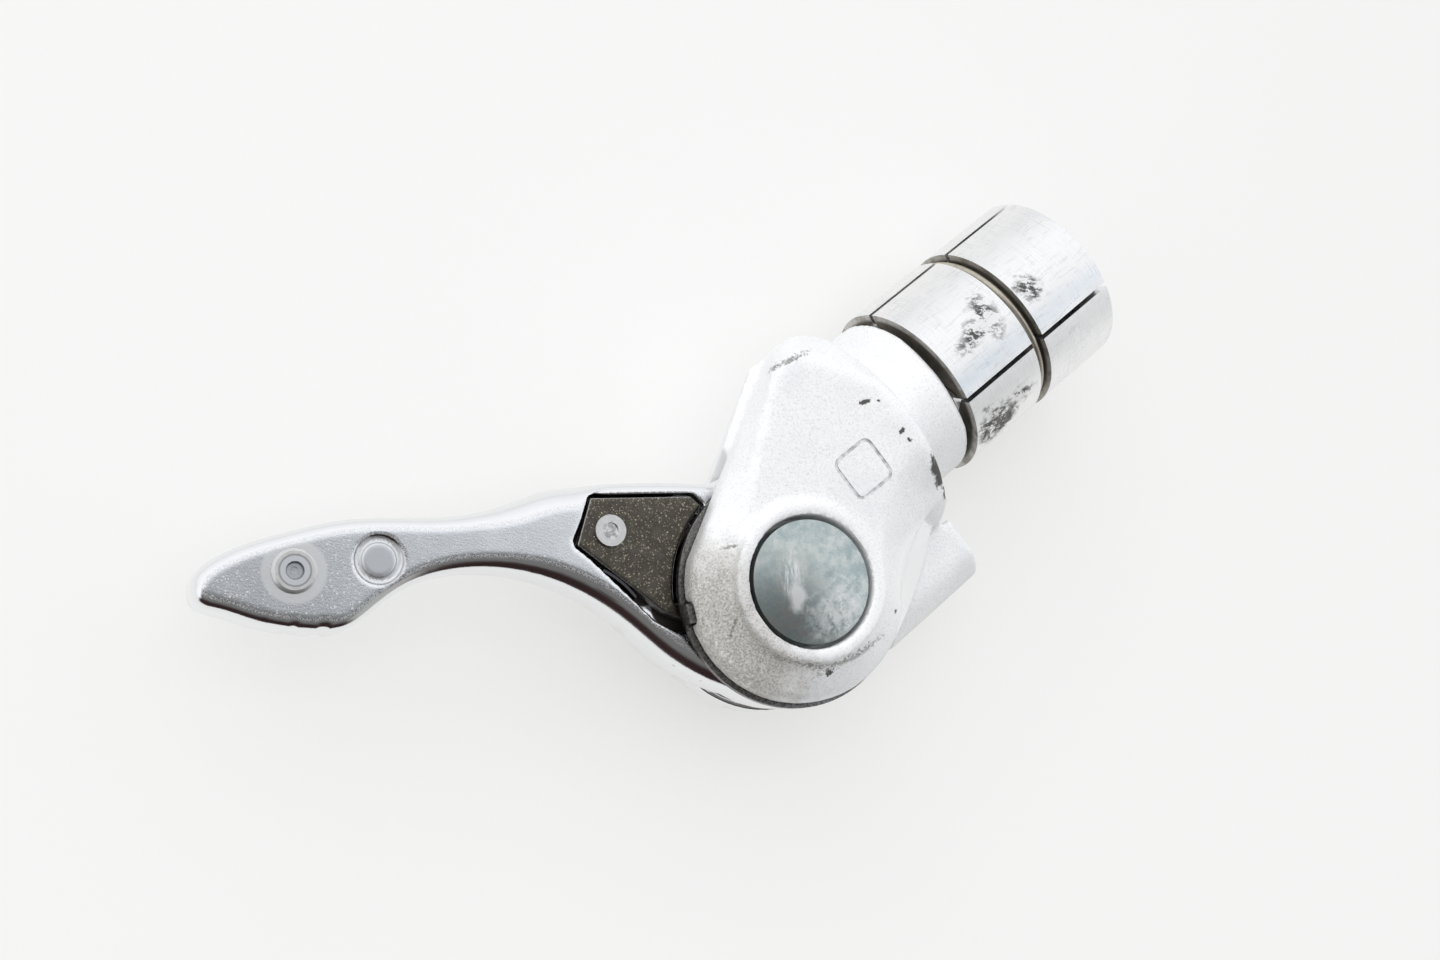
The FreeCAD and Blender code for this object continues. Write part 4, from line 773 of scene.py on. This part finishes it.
# %% The lever's alloy
def lever_alloy():
    """The lever's finish: a sanded face, buffed edges, pressed places, and painted shade in the
    recess and the pawl's pocket.
    """
    alloy = Finish("lever_alloy", 1.0, 0.16, (0.88, 0.885, 0.895))
    near_top = alloy.span_of("Z", lever_front - 0.5, lever_front + 0.5)
    face = alloy.within(alloy.toward((0, 0, 1), 0.985, 0.998), near_top)
    fine = alloy.grain(0.15, 2, rough=0.7)
    brushed = alloy.grain(0.2, 3, stretch=(5, 1, 1), turn=128)
    clouds = alloy.grain(3.0, 4)
    alloy.tint(face, (0.78, 0.81, 0.85), 0.9)
    paler = alloy.within(face, alloy.levels(clouds, 0.45, 0.62))
    alloy.tint(paler, (0.92, 0.94, 0.96), 0.45)
    flecks = alloy.either(alloy.flecks(0.28, 0.20), alloy.flecks(0.18, 0.20))
    specks = alloy.within(face, flecks)
    alloy.tint(specks, (1.0, 1.0, 1.0), 0.9)
    alloy.follow("Roughness", face, 0.12, 0.24)
    alloy.follow("Roughness", specks, 0, 0.72)
    shoulder = alloy.within(alloy.toward((0, 0, 1), 0.90, 0.955),
                            alloy.toward((0, 0, 1), 0.998, 0.985))
    glitter = alloy.within(shoulder, alloy.within(near_top, alloy.levels(fine, 0.44, 0.54)))
    alloy.follow("Roughness", glitter, 0, 0.55)

    pressed = alloy.within(alloy.ring(paddle_stud, -1, 2.8, 0.12), face)
    alloy.tint(pressed, (0.90, 0.91, 0.92), 0.9)
    alloy.follow("Roughness", pressed, 0, 0.36)
    recess_floor = alloy.ring(paddle_recess, -1, 2.1, 0.05)
    alloy.tint(recess_floor, (0.90, 0.91, 0.92))
    alloy.follow("Roughness", recess_floor, 0, 0.50)
    alloy.tint(alloy.ring(paddle_recess, -1, 1.34, 0.05), (0.66, 0.68, 0.71), 0.9)
    # two thin dark rings at the recess's steps are painted shade
    recess_edge_shade = alloy.either(alloy.ring(paddle_recess, 1.48, 1.56, 0.04),
                        alloy.ring(paddle_recess, 2.08, 2.24, 0.04))
    alloy.tint(recess_edge_shade, (0.34, 0.34, 0.35), 0.7)

    # painted shade on the walls of the pawl's pocket, and handling marks on the side wall
    pocket = alloy.either(alloy.ring(on_lever(14.5, -4.5), -1, 5.9, 0.1),
                          alloy.ring(on_lever(10.5, 1.2), -1, 2.6, 0.1))
    inside = alloy.past(across_lever, pin.dot(across_lever) - 9.0)
    below_face = alloy.within(inside, alloy.span_of("Z", 2.6, lever_front - 0.32, 0.08))
    pocket_shade = alloy.within(pocket, below_face)
    alloy.tint(pocket_shade, (0.045, 0.032, 0.028), 0.96)
    alloy.follow("Roughness", pocket_shade, 0, 0.45)
    handled = alloy.within(alloy.span_of("Z", -6, 1.4, 0.8),
                           alloy.levels(alloy.grain(2.2, 4), 0.5, 0.64))
    alloy.tint(handled, (0.72, 0.70, 0.66), 0.5)
    alloy.raise_by(alloy.within(fine, face), 0.008)
    alloy.raise_by(brushed, 0.003)
    off_face = alloy.calc("SUBTRACT", 1.0, face)
    alloy.raise_by(alloy.within(off_face, alloy.grain(0.9, 3)), 0.006)
    return alloy.done()


wear(lever_forging, lever_alloy())

# %% [markdown]
# ## The plug's turned alloy
# The four segments are turned on a lathe: fine lines run round them, so the noise is drawn out
# round the X axis. A texture wound round the plug would need a seam. They slide in and out of a
# handlebar, which leaves dark rubbed patches with torn outlines, while the cut ends and the
# groove for the spring ring stay dull and brownish, painted dark towards their inner edge as
# painted shade of the gaps.

# %% Turned alloy
def turned_alloy():
    """The plug's metal: turning lines, stained ends with painted shade at their inner edge, and
    dark rubbed patches.
    """
    turned = Finish("turned_alloy", 1.0, 0.30, (0.92, 0.92, 0.92))
    lines = turned.grain(0.16, 2, stretch=(1, 14, 14), rough=0.6)
    clouds = turned.grain(2.4, 4, stretch=(1.6, 1, 1))
    turned.tint(turned.levels(lines, 0.48, 0.64), (0.80, 0.805, 0.815), 0.6)
    turned.tint(turned.levels(clouds, 0.46, 0.62), (0.95, 0.95, 0.94), 0.6)
    scratches = turned.levels(turned.grain(0.3, 4, stretch=(7, 1, 1), rough=0.7), 0.56, 0.62)
    turned.tint(scratches, (0.66, 0.67, 0.69), 0.35)

    # the cut ends, except the far end, which stays clean; dull and stained, and painted dark
    # inwards as painted shade
    ends = turned.either(*(turned.toward((way, 0, 0), 0.6, 0.85) for way in (-1, 1)))
    ends = turned.within(ends, turned.span_of("X", 0, 22))
    turned.tint(ends, (0.70, 0.68, 0.64), 0.9)
    across = turned.add("VectorMath", {0: turned.place, 1: (0, 1, 1)},
                        operation="MULTIPLY").outputs[0]
    from_axis = turned.add("VectorMath", {0: across}, operation="LENGTH").outputs["Value"]
    plug_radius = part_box("segment_1")[1][2] / MM
    # the inner part of each cut end is painted dark: painted shade of the gap beside it
    shaded = turned.levels(from_axis, plug_radius - 0.5, plug_radius - 0.8)
    turned.tint(turned.within(ends, shaded), (0.16, 0.14, 0.12), 0.9)
    turned.tint(turned.within(ends, turned.levels(turned.grain(1.4, 4), 0.47, 0.62)),
                (0.34, 0.31, 0.27), 0.6)

    # patches rubbed dark by the bar, with torn outlines
    tears = turned.grain(0.8, 5, stretch=(1.8, 1, 1), turn=-35, rough=0.75)
    torn = turned.levels(tears, 0.48, 0.53)
    rubbed = turned.either(
        turned.spot((14.5, 2.0, 9.0), (1.3, 2.0, 1.6), soft=0.9, ragged=0.4, size=1.6),
        turned.spot((12.2, 1.5, 9.2), (2.2, 0.9, 1.6), soft=0.9, ragged=0.4, size=1.6, turn=12),
        turned.spot((10.4, -7.0, 6.0), (2.8, 1.9, 2.4), soft=0.6, ragged=0.4, size=1.6, turn=-12),
        turned.spot((14.0, -6.6, 6.6), (1.7, 0.8, 1.2), soft=0.8, ragged=0.4, size=1.2, turn=-12),
        turned.spot((20.2, 1.6, 9.1), (1.3, 1.2, 1.0), soft=0.8, ragged=0.4, size=1.0, turn=-50),
        turned.spot((14.0, 5.5, -7.4), (3.5, 2.0, 1.6), soft=0.9, ragged=0.5, size=1.6),
        turned.spot((22.0, -8.0, -4.6), (3.0, 1.6, 2.0), soft=0.9, ragged=0.5, size=1.4))
    scraped = turned.spot((10.6, -7.4, 5.6), (2.4, 1.7, 2.2), soft=0.5, ragged=0.4, size=1.2,
                          turn=-12)
    gouges = turned.grain(1.1, 5, stretch=(1.5, 1, 1), turn=-40, rough=0.75)
    deep = turned.levels(gouges, 0.43, 0.50)
    smudge = turned.either(turned.within(rubbed, torn), turned.within(scraped, deep))
    turned.tint(smudge, (0.12, 0.115, 0.11), 0.95)
    polish = turned.within(rubbed, turned.levels(torn, 0, 1, 0.5, 0))
    turned.tint(polish, (0.6, 0.6, 0.6), 0.5)

    turned.follow("Roughness", turned.levels(clouds, 0.35, 0.7), 0.24, 0.36)
    turned.follow("Roughness", turned.either(smudge, ends), 0, 0.6)
    turned.raise_by(lines, 0.006)
    turned.raise_by(scratches, -0.004)
    turned.raise_by(turned.grain(1.2, 3), 0.010)
    return turned.done()


# %% [markdown]
# ## Zinc, steel, bronze and plastic
# The pin's head is a dome of blued zinc, mottled like a cloudy sky, with a bright patch where a
# tool slipped over it. The pawl is dark stamped steel with golden specks: noise would give them
# worm-like shapes, so they are separate round cells.

# %% Zinc and pawl steel
def mottled_zinc():
    """The pin's head: mottled zinc, a bright slip mark, and a pale powdery patch that is also a
    painted highlight.
    """
    zinc = Finish("mottled_zinc", 1.0, 0.30, (0.46, 0.52, 0.52))
    clouds = zinc.grain(1.5, 5, rough=0.7)
    broad = zinc.grain(4.0, 3)
    fine = zinc.grain(0.14, 3, rough=0.7)
    zinc.tint(zinc.levels(clouds, 0.48, 0.60), (0.34, 0.42, 0.43), 0.7)
    zinc.tint(zinc.levels(clouds, 0.48, 0.40), (0.60, 0.62, 0.60), 0.7)
    zinc.tint(zinc.levels(broad, 0.48, 0.62), (0.55, 0.57, 0.54), 0.5)
    zinc.tint(zinc.levels(fine, 0.54, 0.62), (0.62, 0.67, 0.67), 0.4)
    streaks = zinc.levels(zinc.grain(0.28, 4, stretch=(7, 1, 1), turn=54, rough=0.6), 0.44, 0.56)
    slip = zinc.spot((-20.4, -6.2, 11.4), (1.4, 0.75, 1.2), soft=0.7, ragged=0.3, size=0.9, turn=54)
    slip_tail = zinc.spot((-19.9, -4.9, 11.5), (1.8, 0.9, 1.2), soft=0.9, ragged=0.3, size=0.8,
                          turn=54)
    slipped = zinc.either(slip, zinc.within(streaks, slip_tail))
    zinc.tint(slipped, (0.97, 0.98, 0.98), 0.9)
    # pale specks on the dome's low side: powdery marks, brightened to stand as a painted highlight
    dusty_highlight_spot = zinc.spot((-18.1, -10.0, 10.8), (2.7, 2.1, 1.8), soft=1.0, ragged=0.5, size=1.0)
    dust_and_highlight = zinc.within(dusty_highlight_spot, zinc.levels(zinc.grain(0.7, 5, rough=0.7), 0.37, 0.52))
    zinc.tint(dust_and_highlight, (0.96, 0.98, 0.97), 0.95)
    zinc.follow("Roughness", zinc.levels(clouds, 0.3, 0.7), 0.28, 0.44)
    zinc.follow("Roughness", zinc.either(slipped, dust_and_highlight), 0, 0.60)
    zinc.raise_by(clouds, 0.016)
    zinc.raise_by(fine, 0.006)
    return zinc.done()


def speckled_steel():
    """The pawl's steel: dark, with golden flecks, and its sloped sides and edges painted paler as a
    painted highlight.
    """
    steel = Finish("speckled_steel", 1.0, 0.36, (0.105, 0.095, 0.080))
    fine = steel.grain(0.16, 2, rough=0.6)
    steel.tint(steel.levels(steel.grain(1.2, 5, rough=0.7), 0.45, 0.58), (0.145, 0.132, 0.112), 0.7)
    specks = steel.either(steel.flecks(0.22, 0.30), steel.flecks(0.15, 0.30))
    steel.tint(specks, (0.74, 0.66, 0.50), 0.65)
    # the faces that slope away from the top are painted paler: a painted highlight
    edge_highlight = steel.toward((0, 0, 1), 0.96, 0.80)
    steel.tint(edge_highlight, (0.52, 0.52, 0.52), 0.8)
    steel.follow("Roughness", specks, 0.36, 0.22)
    steel.raise_by(fine, 0.010)
    return steel.done()


# %% [markdown]
# The rest are plain hardware: black oxide, bronze, hardened steel and moulded plastic. They could
# share one finish in several colours. One short function for metal and one for plastic give each
# its own grain, and the cover disc and the rivets, which show more, have their own.

# %% Plain hardware
def darker(colour, share):
    """A colour with a share of its light."""
    return tuple(share * part for part in colour)


def plain_metal(name, colour, roughness, stain=None):
    """Plain metal with a fine grain, and clouds of a stain or of its own darker colour."""
    metal = Finish(name, 1.0, roughness, colour)
    fine = metal.grain(0.2, 3, rough=0.65)
    metal.tint(metal.levels(fine, 0.5, 0.7), darker(colour, 0.7), 0.5)
    clouds = metal.levels(metal.grain(1.8, 4), 0.5, 0.7)
    metal.tint(clouds, stain or darker(colour, 0.85), 0.6)
    metal.follow("Roughness", fine, roughness - 0.08, roughness + 0.12)
    metal.raise_by(fine, 0.006)
    return metal.done()


def disc_steel():
    """The cover disc: near black as painted shade under the ear, with a band along its upper rim
    painted lighter as a painted highlight.
    """
    steel = Finish("disc_steel", 1.0, 0.30, (0.050, 0.038, 0.035))
    # the band between 5.6 and 7.6 mm up is a painted highlight; below it the near black base is
    # painted shade
    rubbed = steel.span_of("Z", 5.6, 7.6, 0.3)
    steel.tint(rubbed, (0.20, 0.195, 0.19), 0.8)
    steel.tint(steel.within(rubbed, steel.levels(steel.grain(0.25, 3), 0.45, 0.60)),
               (0.52, 0.52, 0.52), 0.4)
    steel.follow("Roughness", steel.grain(0.4, 3), 0.22, 0.42)
    steel.raise_by(steel.grain(0.25, 2), 0.008)
    return steel.done()


def rivet_metal():
    """The two rivets: a matt pale rim; the pawl's has a shinier middle left by the closing punch
    and painted darker as a painted reflection, and the paddle's is darker in its middle.
    """
    rivet = Finish("matt_rivet", 1.0, 0.44, (0.84, 0.84, 0.83))
    blots = rivet.levels(rivet.grain(0.5, 4, rough=0.7), 0.44, 0.56)
    rivet.tint(blots, (0.70, 0.70, 0.69), 0.5)
    rivet.tint(rivet.ring(paddle_stud, -1, 0.80, 0.06), (0.42, 0.44, 0.46), 0.9)
    rivet.tint(rivet.ring(paddle_stud, 0.80, 1.32, 0.06), (0.78, 0.80, 0.82), 0.9)
    rivet.follow("Roughness", rivet.ring(paddle_stud, -1, 1.32, 0.06), 0.44, 0.62)
    rivet.tint(rivet.ring(paddle_stud, 1.28, 1.42, 0.05), (0.26, 0.26, 0.27), 0.7)
    # the pawl rivet's shiny middle is painted darker: a painted reflection
    punched_shine_and_reflection = rivet.ring(pawl_pin, -1, 0.80, 0.08)
    rivet.tint(rivet.within(punched_shine_and_reflection, blots), (0.40, 0.41, 0.42), 0.9)
    rivet.follow("Roughness", punched_shine_and_reflection, 0, 0.20)
    rivet.raise_by(rivet.grain(0.25, 3), 0.008)
    return rivet.done()


def moulded(name, colour):
    """Moulded plastic, a little cloudy."""
    plastic = Finish(name, 0.0, 0.45, colour)
    clouds = plastic.levels(plastic.grain(2.5, 3), 0.5, 0.7)
    plastic.tint(clouds, darker(colour, 0.8), 0.4)
    plastic.follow("Roughness", plastic.grain(0.8, 3), 0.36, 0.54)
    plastic.raise_by(plastic.grain(0.3, 2), 0.006)
    return plastic.done()


# %% [markdown]
# ## Every piece gets its finish
# The pieces made here are dressed by name. The rest are CAD solids whose shape is right as it is,
# so they only get a material.

# %% Dress the pieces
wear(pawl_plate, speckled_steel())
wear(rivet_core, plain_metal("core_steel", (0.66, 0.68, 0.70), 0.60))
# the spring is blued steel, kept near black also as painted shade of the gap it lies in
wear(leaf_spring, plain_metal("blued_spring_in_shade", (0.10, 0.10, 0.11), 0.35))
black_oxide = plain_metal("black_oxide", (0.06, 0.06, 0.065), 0.4)
hard_steel = plain_metal("hard_steel", (0.36, 0.35, 0.34), 0.3)
stained_wire = plain_metal("stained_wire", (0.60, 0.56, 0.48), 0.38, stain=(0.40, 0.35, 0.28))
SEGMENTS = tuple("segment_%d" % number for number in (1, 2, 3, 4))
FINISHES = {
    turned_alloy(): ("near_wedge", "far_wedge", *SEGMENTS),
    mottled_zinc(): ("pivot_pin", "expander_bolt", "bolt_washer"),
    black_oxide: ("pivot_screw", "lock_washer"),
    plain_metal("bronze", (0.50, 0.36, 0.16), 0.4): ("pivot_bush",),
    disc_steel(): ("cover_disc",),
    hard_steel: ("ratchet_wheel",),
    rivet_metal(): ("pawl_rivet", "paddle_rivet"),
    stained_wire: ("segment_ring",),
    moulded("pale_acetal", (0.70, 0.67, 0.58)): ("friction_washers", "thrust_washer"),
    moulded("black_acetal", (0.03, 0.03, 0.03)): ("cable_guide",),
}
for material, names in FINISHES.items():
    for name in names:
        wear(frame["nodes"][name], material)
    print(material.name, "on", ", ".join(names))

# %% [markdown]
# ## The table's own colour
# The table is a pale board. For the rays that look at it straight or in a mirror, part of it
# shines in its own pale colour, so that it stays even far from the part. The rest is plain board,
# which still takes the part's shadow, and the board alone is what lights the part from below.

# %% Paint the table
OWN_SHINE = 0.6                                # share of the even colour
board = Finish("white_board", 0.0, 0.5, (0.91, 0.91, 0.90))
board.tint(board.levels(board.grain(60, 4), 0.45, 0.65), (0.89, 0.89, 0.88), 0.6)
board.raise_by(board.grain(0.8, 3), 0.01)
wear(table_top, board.done())
ray_kind = board.add("LightPath").outputs
looked_at = board.either(*(ray_kind[kind] for kind in
                           ("Is Camera Ray", "Is Glossy Ray", "Is Transmission Ray")))
even_colour = board.add("Emission", {"Color": (0.90, 0.905, 0.89, 1), "Strength": 1.0})
blended = board.add("MixShader", {"Fac": board.calc("MULTIPLY", looked_at, OWN_SHINE),
                                  1: board.shader.outputs[0], 2: even_colour.outputs[0]})
board.tree.links.new(blended.outputs[0],
                     board.tree.nodes["Material Output"].inputs["Surface"])
print("table finish:", board.material.name)
